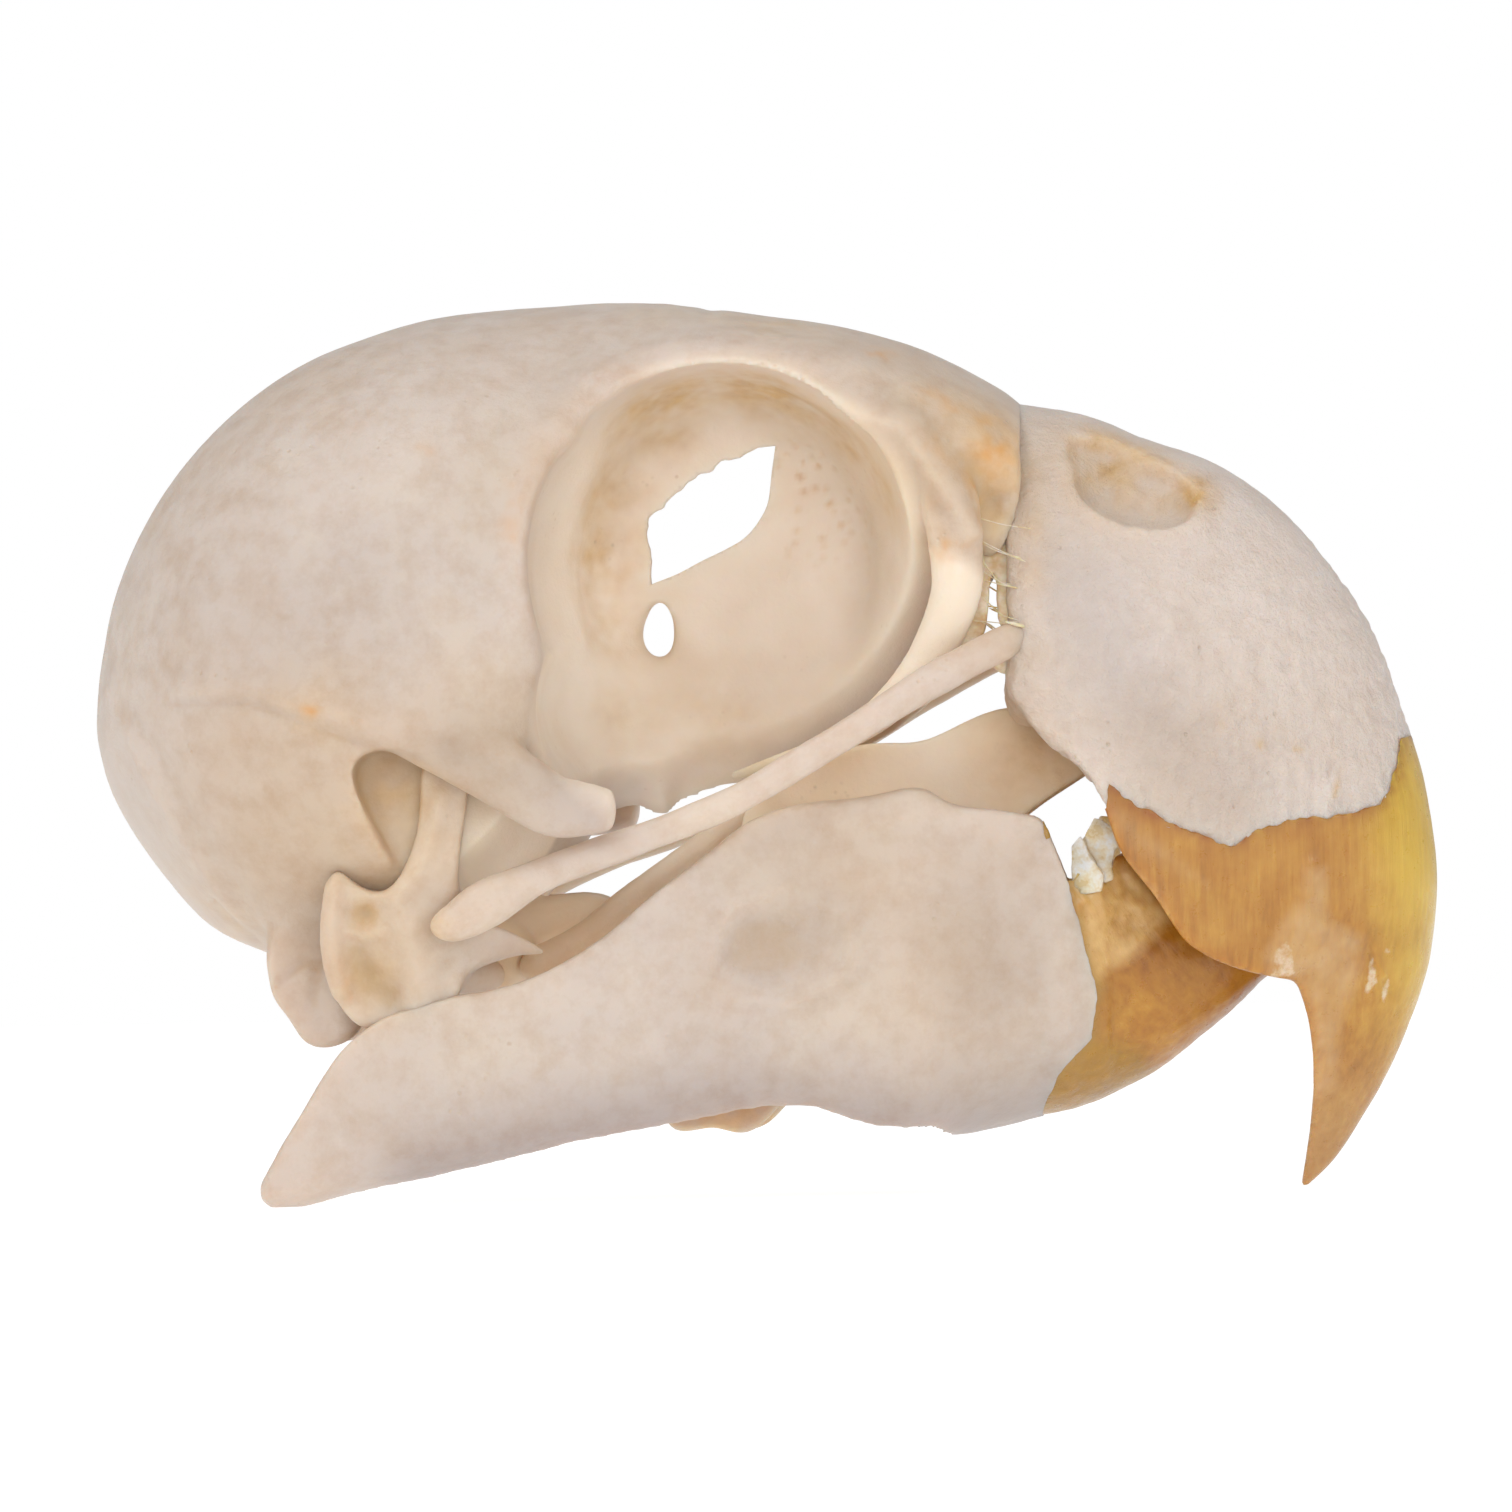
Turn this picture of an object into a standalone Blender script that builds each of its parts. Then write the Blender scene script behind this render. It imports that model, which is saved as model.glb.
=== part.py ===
"""A small parrot's skull with its horny bill, life size, resting on the hook of the bill and the two jaw heels."""

# The bones are set out in the head frame, in millimetres: X forward to the bill, Y to the bird's left, Z up.
# An empty then tips the whole head by about a degree, so that the hook and both heels meet one level surface.

import math

import bmesh
import bpy
import numpy as np
from mathutils import Matrix, Vector

MM = 0.001
GAP = 0.3  # clearance between neighbouring bones

# Where the skull stands: the point of the hook and the heel of the jaw, as X and Z
HOOK_POINT = (17.66, 0.62)
JAW_HEEL = (-15.7, 0.0)
REST_FLAT_DEPTH = 0.12  # how far the three feet are worn flat
SKULL_MIDDLE_X = 0.24

# Resolution of the lofted bones
CRANIUM_STATIONS, CRANIUM_AROUND = 38, 36
BILL_STATIONS, BILL_AROUND = 32, 27
JAW_STATIONS, JAW_AROUND = 46, 22

# Braincase and brow, from the nape to the bill hinge: x, crown, base, half width, height of the widest line,
# and how sharply the section narrows below that line
CRANIUM = (
    (-22.0, 15.9, 15.9, 0.0, 15.9, 1.0),
    (-21.6, 19.2, 14.0, 3.7, 16.2, 1.0),
    (-20.1, 22.9, 11.3, 7.0, 16.6, 1.0),
    (-17.4, 26.15, 8.7, 9.6, 16.9, 1.0),
    (-14.2, 28.15, 7.9, 10.8, 17.0, 1.0),
    (-10.6, 29.25, 8.2, 11.2, 17.4, 1.0),
    (-7.3, 29.6, 10.1, 10.3, 19.0, 1.15),
    (-4.4, 29.7, 12.9, 8.4, 23.8, 1.8),
    (-1.4, 29.45, 13.9, 7.5, 26.4, 2.6),
    (2.0, 29.0, 15.2, 7.3, 26.3, 2.6),
    (4.7, 28.3, 17.2, 7.2, 25.6, 2.2),
    (6.6, 27.45, 19.2, 6.8, 24.8, 1.8),
    (8.05, 26.65, 21.4, 6.2, 24.2, 1.4),
)
ROOF_FULLNESS = 0.85  # under 1 makes the crown flatter and its shoulders fuller

# Eye socket: centre, radii, and half the wall that is left between the two sockets
ORBIT_CENTRE = (-1.2, 8.0, 20.95)
ORBIT_RADII = (6.3, 10.5, 6.75)
SEPTUM_HALF = 0.5
ORBIT_REAR_CENTRE, ORBIT_REAR_RADII = (-3.4, 8.0, 16.6), (3.6, 5.2, 3.4)
SEPTUM_WINDOW = ((0.3, 25.0), (-1.9, 24.1), (-3.8, 22.6), (-3.8, 20.5), (-1.2, 21.7), (0.1, 23.3))
OPTIC_HOLE = (-3.5, 18.9, 0.55, 1.1)  # centre X, centre Z, radius X, radius Z

# Struts that grow from the cranium: points on the left side, then the radius at each
LACRIMAL_BAR = (
    ((5.6, 6.3, 25.6), (6.3, 6.5, 22.6), (6.55, 6.4, 20.6), (5.6, 5.8, 18.0), (3.0, 5.4, 15.6), (0.3, 5.0, 14.6)),
    (1.0, 0.95, 0.9, 0.75, 0.5, 0.3),
)
POSTORBITAL = (
    ((-10.6, 9.2, 16.6), (-8.2, 9.9, 15.7), (-6.4, 9.95, 14.25), (-4.8, 9.85, 13.25)),
    (1.3, 1.2, 1.05, 1.05),
)
NAPE_BLADE_CENTRE, NAPE_BLADE_RADII = (-14.7, 5.9, 8.0), (1.45, 0.9, 2.65)
EAR_CENTRE, EAR_RADII = (-10.5, 10.3, 12.3), (3.1, 4.3, 3.2)
NECK_HOLE_CENTRE, NECK_HOLE_RADII = (-17.6, 0.0, 8.2), (1.9, 1.9, 1.7)
CONDYLE_CENTRE, CONDYLE_RADIUS = (-15.2, 0.0, 7.7), 0.75

# Upper bill as ribs in the side view: culmen x and z, cutting edge x and z, half width, wall at the edge,
# and how far the palate arches up the rib
UPPER_BILL = (
    (8.45, 26.35, 8.25, 16.8, 6.3, 4.0, 0.08),
    (10.3, 26.05, 9.3, 15.3, 6.6, 2.2, 0.16),
    (12.4, 25.25, 10.45, 14.4, 6.8, 1.6, 0.2),
    (14.55, 24.5, 11.15, 13.45, 6.8, 1.5, 0.23),
    (16.5, 23.25, 11.75, 11.85, 6.6, 1.3, 0.25),
    (18.3, 21.35, 12.9, 10.3, 6.3, 1.2, 0.26),
    (19.75, 19.2, 14.05, 8.7, 5.9, 1.2, 0.27),
    (20.9, 16.2, 15.5, 7.95, 5.4, 1.2, 0.26),
    (21.7, 13.4, 16.7, 7.6, 4.8, 1.2, 0.24),
    (22.0, 10.75, 17.6, 7.1, 4.1, 1.2, 0.22),
    (21.8, 8.4, 17.9, 5.8, 3.3, 1.1, 0.2),
    (21.0, 5.8, 18.0, 4.3, 2.4, 0.9, 0.18),
    (19.8, 3.35, 17.9, 2.85, 1.4, 0.7, 0.1),
    (18.45, 1.35, 17.7, 1.4, 0.55, 0.4, 0.0),
    (17.85, 0.62, 17.5, 0.62, 0.25, 0.2, 0.0),
)
BILL_FULLNESS = 0.72
BILL_ROOT_CENTRE, BILL_ROOT_RADII = (8.9, 3.4, 18.6), (1.35, 1.5, 2.35)
UPPER_HORN_LINE = (
    (11.0, 14.1), (13.7, 12.6), (15.5, 12.0), (17.3, 12.6), (19.1, 13.0), (20.55, 13.5), (20.9, 15.4), (23.0, 15.9),
)
NOSTRIL_CENTRE, NOSTRIL_RADII, NOSTRIL_TILT = (12.2, 4.4, 24.1), (2.2, 1.5, 1.4), 16.0

# Lower jaw from heel to tip: x, upper edge, lower edge, half width, squareness of the section, wall, floor of the scoop
JAW = (
    (-16.25, 0.85, 0.35, 8.2, 10.0, 1.2, -1.5),
    (-15.7, 1.85, 0.0, 8.4, 10.0, 1.3, -1.5),
    (-14.9, 3.2, 0.1, 8.6, 10.0, 1.3, -1.5),
    (-13.5, 5.3, 0.45, 8.7, 10.0, 1.3, -1.5),
    (-12.2, 6.3, 0.72, 8.75, 10.0, 1.3, -1.5),
    (-10.5, 6.85, 1.02, 8.75, 10.0, 1.3, -1.5),
    (-8.0, 7.35, 1.6, 8.7, 10.0, 1.2, -1.5),
    (-5.5, 8.6, 2.17, 8.5, 10.0, 1.2, -1.5),
    (-3.2, 10.5, 2.57, 8.3, 10.0, 1.2, -1.5),
    (-1.5, 11.8, 2.88, 8.0, 10.0, 1.2, -1.5),
    (-0.2, 12.8, 3.1, 7.85, 10.0, 1.2, -1.5),
    (1.3, 13.3, 3.2, 7.65, 10.0, 1.2, -1.5),
    (3.6, 13.5, 2.6, 7.35, 10.0, 1.2, -1.5),
    (5.2, 13.85, 2.3, 7.25, 9.0, 1.2, -0.8),
    (6.3, 13.25, 2.2, 7.1, 5.0, 1.2, 3.0),
    (8.0, 13.05, 2.6, 6.8, 3.3, 1.3, 4.3),
    (9.1, 12.6, 3.0, 6.4, 3.0, 1.3, 4.5),
    (9.7, 11.5, 3.1, 6.2, 2.9, 1.25, 4.6),
    (10.05, 10.7, 3.2, 6.05, 2.85, 1.2, 4.7),
    (10.3, 11.9, 3.25, 5.8, 2.8, 1.2, 4.75),
    (10.9, 12.7, 3.45, 5.2, 2.65, 1.15, 5.0),
    (11.5, 12.3, 3.7, 4.85, 2.6, 1.1, 5.3),
    (12.7, 11.1, 4.35, 4.4, 2.5, 1.0, 5.9),
    (14.2, 9.5, 5.5, 3.45, 2.4, 1.0, 7.0),
    (15.5, 8.4, 6.6, 2.6, 2.3, 0.9, 7.9),
    (16.4, 8.1, 7.5, 1.8, 2.2, 0.8, 8.1),
    (16.8, 8.1, 7.8, 1.1, 2.2, 0.7, 8.2),
)
LOWER_HORN_LINE = (
    (8.9, 1.5), (9.1, 3.2), (9.7, 4.45), (10.8, 5.6), (11.05, 7.1), (10.6, 8.9), (10.2, 10.75), (9.85, 12.6), (9.8, 15.0),
)
JAW_DISH_CENTRE, JAW_DISH_RADII = (0.9, 9.2, 8.4), (1.9, 2.0, 1.65)
JAW_SHELF_CENTRE, JAW_SHELF_RADII = (-11.3, 6.4, 4.4), (2.2, 1.6, 1.1)

# Loose bones of each side, as points on the left side and radii
JUGAL = (
    ((-9.7, 9.4, 9.6), (-8.4, 9.15, 10.2), (-5.6, 8.6, 11.3), (-1.4, 8.6, 13.0), (3.0, 8.25, 15.5), (6.4, 7.4, 17.35), (7.5, 6.4, 18.15)),
    (0.5, 0.72, 0.54, 0.56, 0.58, 0.7, 0.72),
)
PTERYGOID = (
    ((-7.5, 4.3, 7.9), (-5.8, 3.9, 8.9), (-3.6, 3.2, 10.7), (-1.6, 2.4, 12.0), (-0.5, 2.05, 12.6)),
    (0.6, 0.5, 0.48, 0.48, 0.45),
)
QUADRATE_BODY_CENTRE, QUADRATE_BODY_RADII = (-12.3, 8.1, 8.85), (1.7, 1.0, 1.95)
QUADRATE_SEAT_CLEARANCE = 0.4  # how much wider its seat under the braincase is
QUADRATE_ARMS = {
    "ear": (((-11.4, 8.55, 9.2), (-10.5, 8.75, 11.4), (-10.0, 8.5, 14.3)), (1.1, 1.0, 0.85)),
    "jaw": (((-12.1, 7.4, 8.6), (-12.1, 6.7, 7.6), (-12.1, 6.1, 6.7)), (1.2, 1.0, 0.8)),
    "eye": (((-11.2, 7.4, 8.8), (-9.4, 6.9, 8.6), (-7.4, 6.2, 8.55)), (1.15, 0.9, 0.3)),
    "throat": (((-11.2, 6.7, 8.2), (-9.9, 6.1, 7.95), (-8.1, 5.6, 7.7)), (1.1, 0.95, 0.65)),
}
QUADRATE_PIT_CENTRE, QUADRATE_PIT_RADIUS = (-12.7, 9.25, 9.65), 0.55
PALATINE_OUTLINE = (
    (11.3, 14.9), (9.6, 15.9), (7.7, 16.1), (6.4, 15.7), (5.2, 15.1), (3.8, 15.3), (2.2, 15.0), (0.6, 13.6), (-0.6, 11.4),
    (-2.4, 8.2), (-3.6, 5.2), (-3.2, 1.9), (-1.5, 2.9), (-0.3, 1.8), (1.9, 5.2), (4.6, 8.4), (6.6, 10.9), (8.8, 13.0), (11.2, 14.3),
)
PALATINE_HALF_THICKNESS = 0.35
PALATINE_TOP_Y, PALATINE_LEAN = 2.5, 8.0

SIDES = {"right": -1, "left": 1}


def clear_scene():
    for obj in list(bpy.data.objects):
        bpy.data.objects.remove(obj, do_unlink=True)


def new_collection(name):
    collection = bpy.data.collections.new(name)
    bpy.context.scene.collection.children.link(collection)
    return collection


def surface(name, colour, roughness):
    """A Principled material of one colour."""
    material = bpy.data.materials.new(name)
    material.use_nodes = True
    shader = material.node_tree.nodes["Principled BSDF"]
    shader.inputs["Base Color"].default_value = (*colour, 1.0)
    shader.inputs["Roughness"].default_value = roughness
    shader.inputs["Metallic"].default_value = 0.0
    return material


def on_side(point, side):
    return (point[0], point[1] * side, point[2])


def smooth_rows(rows, count, round_start=False):
    """Reads the table of stations at count evenly spaced rows by a monotone cubic, so nothing overshoots."""
    rows = np.array(rows, float)
    first = 0
    if round_start:
        ghost = 2 * rows[0] - rows[1]
        ghost[0] = rows[1, 0]
        rows = np.vstack([ghost, rows])
        first = 1
    at = np.linspace(first + (0.1 if round_start else 0), len(rows) - 1, count)
    slope = np.diff(rows, axis=0)
    product = slope[:-1] * slope[1:]
    total = slope[:-1] + slope[1:]
    inner = np.where(product > 0, 2 * product / np.where(product > 0, total, 1), 0)
    tangent = np.vstack([slope[:1], inner, slope[-1:]])
    index = np.clip(at.astype(int), 0, len(rows) - 2)
    t = (at - index)[:, None]
    return (
        (1 + 2 * t) * (1 - t) ** 2 * rows[index]
        + t * (1 - t) ** 2 * tangent[index]
        + t * t * (3 - 2 * t) * rows[index + 1]
        - t * t * (1 - t) * tangent[index + 1]
    )


def add_object(name, mesh, home):
    obj = bpy.data.objects.new(name, mesh)
    home.objects.link(obj)
    return obj


def loft(name, rings, home):
    """A closed mesh through rings that have the same number of points, in millimetres."""
    bm = bmesh.new()
    loops = [[bm.verts.new(Vector(point) * MM) for point in ring] for ring in rings]
    for loop, following in zip(loops, loops[1:]):
        for i, vert in enumerate(loop):
            j = (i + 1) % len(loop)
            bm.faces.new((vert, loop[j], following[j], following[i]))
    bm.faces.new(loops[0])
    bm.faces.new(loops[-1])
    bmesh.ops.recalc_face_normals(bm, faces=bm.faces)
    mesh = bpy.data.meshes.new(name)
    bm.to_mesh(mesh)
    bm.free()
    return add_object(name, mesh, home)


def ball(name, centre, radii, home, tilt=0.0, divisions=24):
    """An ellipsoid, tipped about the Y axis by tilt degrees."""
    bm = bmesh.new()
    bmesh.ops.create_uvsphere(bm, u_segments=divisions, v_segments=divisions // 2, radius=1.0)
    mesh = bpy.data.meshes.new(name)
    bm.to_mesh(mesh)
    bm.free()
    scale = Matrix.Diagonal((*(radius * MM for radius in radii), 1.0))
    mesh.transform(Matrix.Rotation(math.radians(tilt), 4, "Y") @ scale)
    obj = add_object(name, mesh, home)
    obj.location = Vector(centre) * MM
    return obj


def strut(name, points, radii, home, bevel_resolution=2, resolution=3):
    """A bone that swells and tapers along a smooth line, as a curve with a bevel and filled ends."""
    curve = bpy.data.curves.new(name, "CURVE")
    curve.dimensions = "3D"
    curve.bevel_depth = MM
    curve.bevel_resolution = bevel_resolution
    curve.use_fill_caps = True
    curve.resolution_u = resolution
    spline = curve.splines.new("NURBS")
    spline.points.add(len(points) - 1)
    for spot, place, radius in zip(spline.points, points, radii):
        spot.co = (*(c * MM for c in place), 1.0)
        spot.radius = radius
    spline.order_u = 4
    spline.use_endpoint_u = True
    return add_object(name, curve, home)


def prism(name, outline, depth, home, kind="POLY"):
    """A flat outline in the side view, as a filled 2D curve that is extruded across the head."""
    curve = bpy.data.curves.new(name, "CURVE")
    curve.dimensions = "2D"
    curve.fill_mode = "BOTH"
    curve.extrude = depth * MM
    curve.resolution_u = 3
    spline = curve.splines.new(kind)
    spline.points.add(len(outline) - 1)
    for spot, (x, z) in zip(spline.points, outline):
        spot.co = (x * MM, z * MM, 0.0, 1.0)
    spline.use_cyclic_u = True
    obj = add_object(name, curve, home)
    obj.rotation_euler = (math.pi / 2, 0.0, 0.0)
    return obj


def meshed(obj):
    """The evaluated object as a mesh object of the same name, with a curve's caps welded on."""
    bpy.context.view_layer.update()
    graph = bpy.context.evaluated_depsgraph_get()
    mesh = bpy.data.meshes.new_from_object(obj.evaluated_get(graph))
    mesh.transform(obj.matrix_world)
    bm = bmesh.new()
    bm.from_mesh(mesh)
    bmesh.ops.remove_doubles(bm, verts=bm.verts, dist=0.00001)
    bmesh.ops.recalc_face_normals(bm, faces=bm.faces)
    bm.to_mesh(mesh)
    bm.free()
    name, home = obj.name, obj.users_collection[0]
    bpy.data.objects.remove(obj)
    mesh.name = name
    return add_object(name, mesh, home)


def combine(host, others, operation):
    """Joins the closed meshes to the host, or cuts them from it, and applies the result."""
    batch = bpy.data.collections.new("batch")
    for other in others:
        batch.objects.link(other)
    boolean = host.modifiers.new(operation.lower(), "BOOLEAN")
    boolean.operation = operation
    boolean.operand_type = "COLLECTION"
    boolean.collection = batch
    boolean.solver = "EXACT"
    result = meshed(host)
    for other in others:
        bpy.data.objects.remove(other)
    bpy.data.collections.remove(batch)
    return largest_body(result)


def largest_body(obj):
    """Keeps the largest closed surface of the mesh, which drops any scrap that a cut leaves."""
    bm = bmesh.new()
    bm.from_mesh(obj.data)
    unseen = set(bm.verts)
    bodies = []
    while unseen:
        queue = [unseen.pop()]
        body = set(queue)
        while queue:
            for edge in queue.pop().link_edges:
                for vert in edge.verts:
                    if vert in unseen:
                        unseen.discard(vert)
                        body.add(vert)
                        queue.append(vert)
        bodies.append(body)
    kept = max(bodies, key=len)
    bmesh.ops.delete(bm, geom=[v for v in bm.verts if v not in kept], context="VERTS")
    bm.to_mesh(obj.data)
    bm.free()
    return obj


def cranium_ring(x, crown, base, half, belt, narrowing):
    angle = np.linspace(0, 2 * math.pi, CRANIUM_AROUND, endpoint=False)
    up, out = np.cos(angle), np.sin(angle)
    power = np.where(up > 0, ROOF_FULLNESS, narrowing)
    y = half * np.sign(out) * np.abs(out) ** power
    z = belt + np.where(up > 0, (crown - belt) * up, (belt - base) * up)
    return [(x, across, height) for across, height in zip(y, z)]


def bill_ring(culmen_x, culmen_z, edge_x, edge_z, half, wall, arch):
    """One rib of the upper bill: over the culmen from edge to edge, then back along the arched palate."""
    outside = np.linspace(-math.pi / 2, math.pi / 2, BILL_AROUND * 2 // 3)
    y_outside = half * np.sign(outside) * np.abs(np.sin(outside)) ** BILL_FULLNESS
    reach = 1 - np.cos(outside)
    y_inside = np.linspace(1, -1, BILL_AROUND // 3) * max(half - wall, 0.35 * half)
    rise = 1 - arch * (1 - (y_inside / y_inside[0]) ** 2)
    y = np.concatenate([y_outside, y_inside])
    along = np.concatenate([reach, rise])
    x = culmen_x + (edge_x - culmen_x) * along
    z = culmen_z + (edge_z - culmen_z) * along
    return list(zip(x, y, z))


def trough_ring(x, top, bottom, half, squareness):
    """A U section with a flat top, between a half ellipse at squareness 2 and a box."""
    angle = np.linspace(0, math.pi, JAW_AROUND)
    power = 2 / squareness
    across, down = np.cos(angle), np.sin(angle)
    y = half * np.sign(across) * np.abs(across) ** power
    z = top - (top - bottom) * down**power
    return [(x, side, height) for side, height in zip(y, z)]


def floor_cutter(tools):
    """A block whose top is the level that the skull stands on, a little into its feet."""
    mesh = bpy.data.meshes.new("floor_cutter")
    bm = bmesh.new()
    bmesh.ops.create_cube(bm, size=60 * MM)
    bm.to_mesh(mesh)
    bm.free()
    block = add_object("floor_cutter", mesh, tools)
    block.location = (0.0, 0.0, -30 * MM)
    return block


def make_cranium(home, tools):
    rings = [cranium_ring(*row) for row in smooth_rows(CRANIUM, CRANIUM_STATIONS, round_start=True)]
    cranium = loft("cranium", rings, home)
    grown = [ball("condyle", CONDYLE_CENTRE, (CONDYLE_RADIUS,) * 3, tools, divisions=12)]
    hole_x, hole_z, radius_x, radius_z = OPTIC_HOLE
    cuts = [
        ball("neck_hole", NECK_HOLE_CENTRE, NECK_HOLE_RADII, tools, divisions=16),
        prism("septum_window", SEPTUM_WINDOW, 2.5, tools),
        ball("optic_hole", (hole_x, 0, hole_z), (radius_x, 4.0, radius_z), tools, divisions=16),
    ]
    for word, side in SIDES.items():
        for kind, (points, radii) in (("lacrimal", LACRIMAL_BAR), ("postorbital", POSTORBITAL)):
            grown.append(strut(f"{kind}_{word}", [on_side(p, side) for p in points], radii, tools))
        grown.append(ball(f"nape_{word}", on_side(NAPE_BLADE_CENTRE, side), NAPE_BLADE_RADII, tools, divisions=16))
        orbit = ball(f"orbit_{word}", on_side(ORBIT_CENTRE, side), ORBIT_RADII, tools, divisions=32)
        inner_limit = (ORBIT_CENTRE[1] - SEPTUM_HALF) * MM
        for vert in orbit.data.vertices:
            vert.co.y = side * max(side * vert.co.y, -inner_limit)
        cuts.append(orbit)
        cuts.append(ball(f"orbit_rear_{word}", on_side(ORBIT_REAR_CENTRE, side), ORBIT_REAR_RADII, tools))
        cuts.append(ball(f"ear_{word}", on_side(EAR_CENTRE, side), EAR_RADII, tools))
        seat_radii = [radius + QUADRATE_SEAT_CLEARANCE for radius in QUADRATE_BODY_RADII]
        cuts.append(ball(f"seat_{word}", on_side(QUADRATE_BODY_CENTRE, side), seat_radii, tools))
    cranium = combine(cranium, [meshed(cut) for cut in cuts], "DIFFERENCE")
    return combine(cranium, [meshed(piece) for piece in grown], "UNION")


def horn_block(name, line, corners, offset, tools):
    """A block across the head with one side along the line between bone and horn, moved sideways by offset."""
    line = np.array(line)
    along = np.gradient(line, axis=0)
    sideways = np.stack([-along[:, 1], along[:, 0]], 1) / np.linalg.norm(along, axis=1)[:, None]
    outline = [*map(tuple, line + sideways * offset), *corners]
    return meshed(prism(name, outline, 12.0, tools))


def make_upper_bill(home, tools):
    rings = [bill_ring(*row) for row in smooth_rows(UPPER_BILL, BILL_STATIONS)]
    half_gap = 0.5 * GAP
    below = [(23.0, -5.0), (5.0, -5.0), (5.0, 14.0)]
    above = [(23.0, 30.0), (5.0, 30.0), (5.0, 14.0)]
    bone = loft("upper_bill_bone", rings, home)
    roots = [ball("root", on_side(BILL_ROOT_CENTRE, side), BILL_ROOT_RADII, tools) for side in SIDES.values()]
    bone = combine(bone, [meshed(root) for root in roots], "UNION")
    cuts = [horn_block("horn_side", UPPER_HORN_LINE, below, half_gap, tools)]
    for side in SIDES.values():
        centre = on_side(NOSTRIL_CENTRE, side)
        cuts.append(meshed(ball("nostril", centre, NOSTRIL_RADII, tools, tilt=NOSTRIL_TILT)))
    bone = combine(bone, cuts, "DIFFERENCE")
    sheath = loft("upper_bill_sheath", rings, home)
    cuts = [horn_block("bone_side", UPPER_HORN_LINE, above, -half_gap, tools)]
    sheath = combine(sheath, cuts, "DIFFERENCE")
    return bone, sheath


def make_lower_bill(home, tools):
    rows = smooth_rows(JAW, JAW_STATIONS)
    outer = [trough_ring(x, top, low, half, square) for x, top, low, half, square, wall, floor in rows]
    inner = [
        trough_ring(x, 25.0, floor, max(half - wall, 0.2), square)
        for x, top, low, half, square, wall, floor in rows
    ]
    shift = 1.0  # the scoop's hollow runs out past the heels
    inner[0] = [(x - shift, y, z) for x, y, z in inner[0]]
    half_gap = 0.5 * GAP
    ahead = [(30.0, 15.0), (30.0, 1.5)]
    behind = [(-20.0, 15.0), (-20.0, 1.5)]
    grown, cuts = [], []
    for side in SIDES.values():
        grown.append(meshed(ball("shelf", on_side(JAW_SHELF_CENTRE, side), JAW_SHELF_RADII, tools)))
        cuts.append(meshed(ball("dish", on_side(JAW_DISH_CENTRE, side), JAW_DISH_RADII, tools)))
    jaw = loft("lower_jaw", outer, home)
    jaw = combine(jaw, [loft("scoop", inner, tools)], "DIFFERENCE")
    jaw = combine(jaw, grown, "UNION")
    cuts.append(horn_block("horn_side", LOWER_HORN_LINE, ahead, half_gap, tools))
    jaw = combine(jaw, cuts, "DIFFERENCE")
    sheath = loft("lower_bill_sheath", outer, home)
    cuts = [
        loft("scoop", inner, tools),
        horn_block("bone_side", LOWER_HORN_LINE, behind, -half_gap, tools),
    ]
    sheath = combine(sheath, cuts, "DIFFERENCE")
    return jaw, sheath


def make_quadrate(word, side, home, tools):
    body = ball(f"quadrate_{word}", on_side(QUADRATE_BODY_CENTRE, side), QUADRATE_BODY_RADII, home, divisions=16)
    arms = [
        meshed(strut(f"{kind}_{word}", [on_side(p, side) for p in points], radii, tools, resolution=2))
        for kind, (points, radii) in QUADRATE_ARMS.items()
    ]
    whole = combine(meshed(body), arms, "UNION")
    pit = ball("pit", on_side(QUADRATE_PIT_CENTRE, side), (QUADRATE_PIT_RADIUS,) * 3, tools, divisions=12)
    return combine(whole, [meshed(pit)], "DIFFERENCE")


def make_palatine(word, side, home):
    """A thin upright blade that leans outward toward its lower edge."""
    blade = prism(f"palatine_{word}", PALATINE_OUTLINE, PALATINE_HALF_THICKNESS, home, kind="NURBS")
    lean = math.radians(PALATINE_LEAN) * side
    top = max(z for x, z in PALATINE_OUTLINE)
    pivot = Matrix.Translation(Vector((0.0, side * PALATINE_TOP_Y, top)) * MM)
    back = Matrix.Translation(Vector((0.0, 0.0, -top)) * MM)
    blade.matrix_world = pivot @ Matrix.Rotation(lean, 4, "X") @ back @ Matrix.Rotation(math.pi / 2, 4, "X")
    return meshed(blade)


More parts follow.
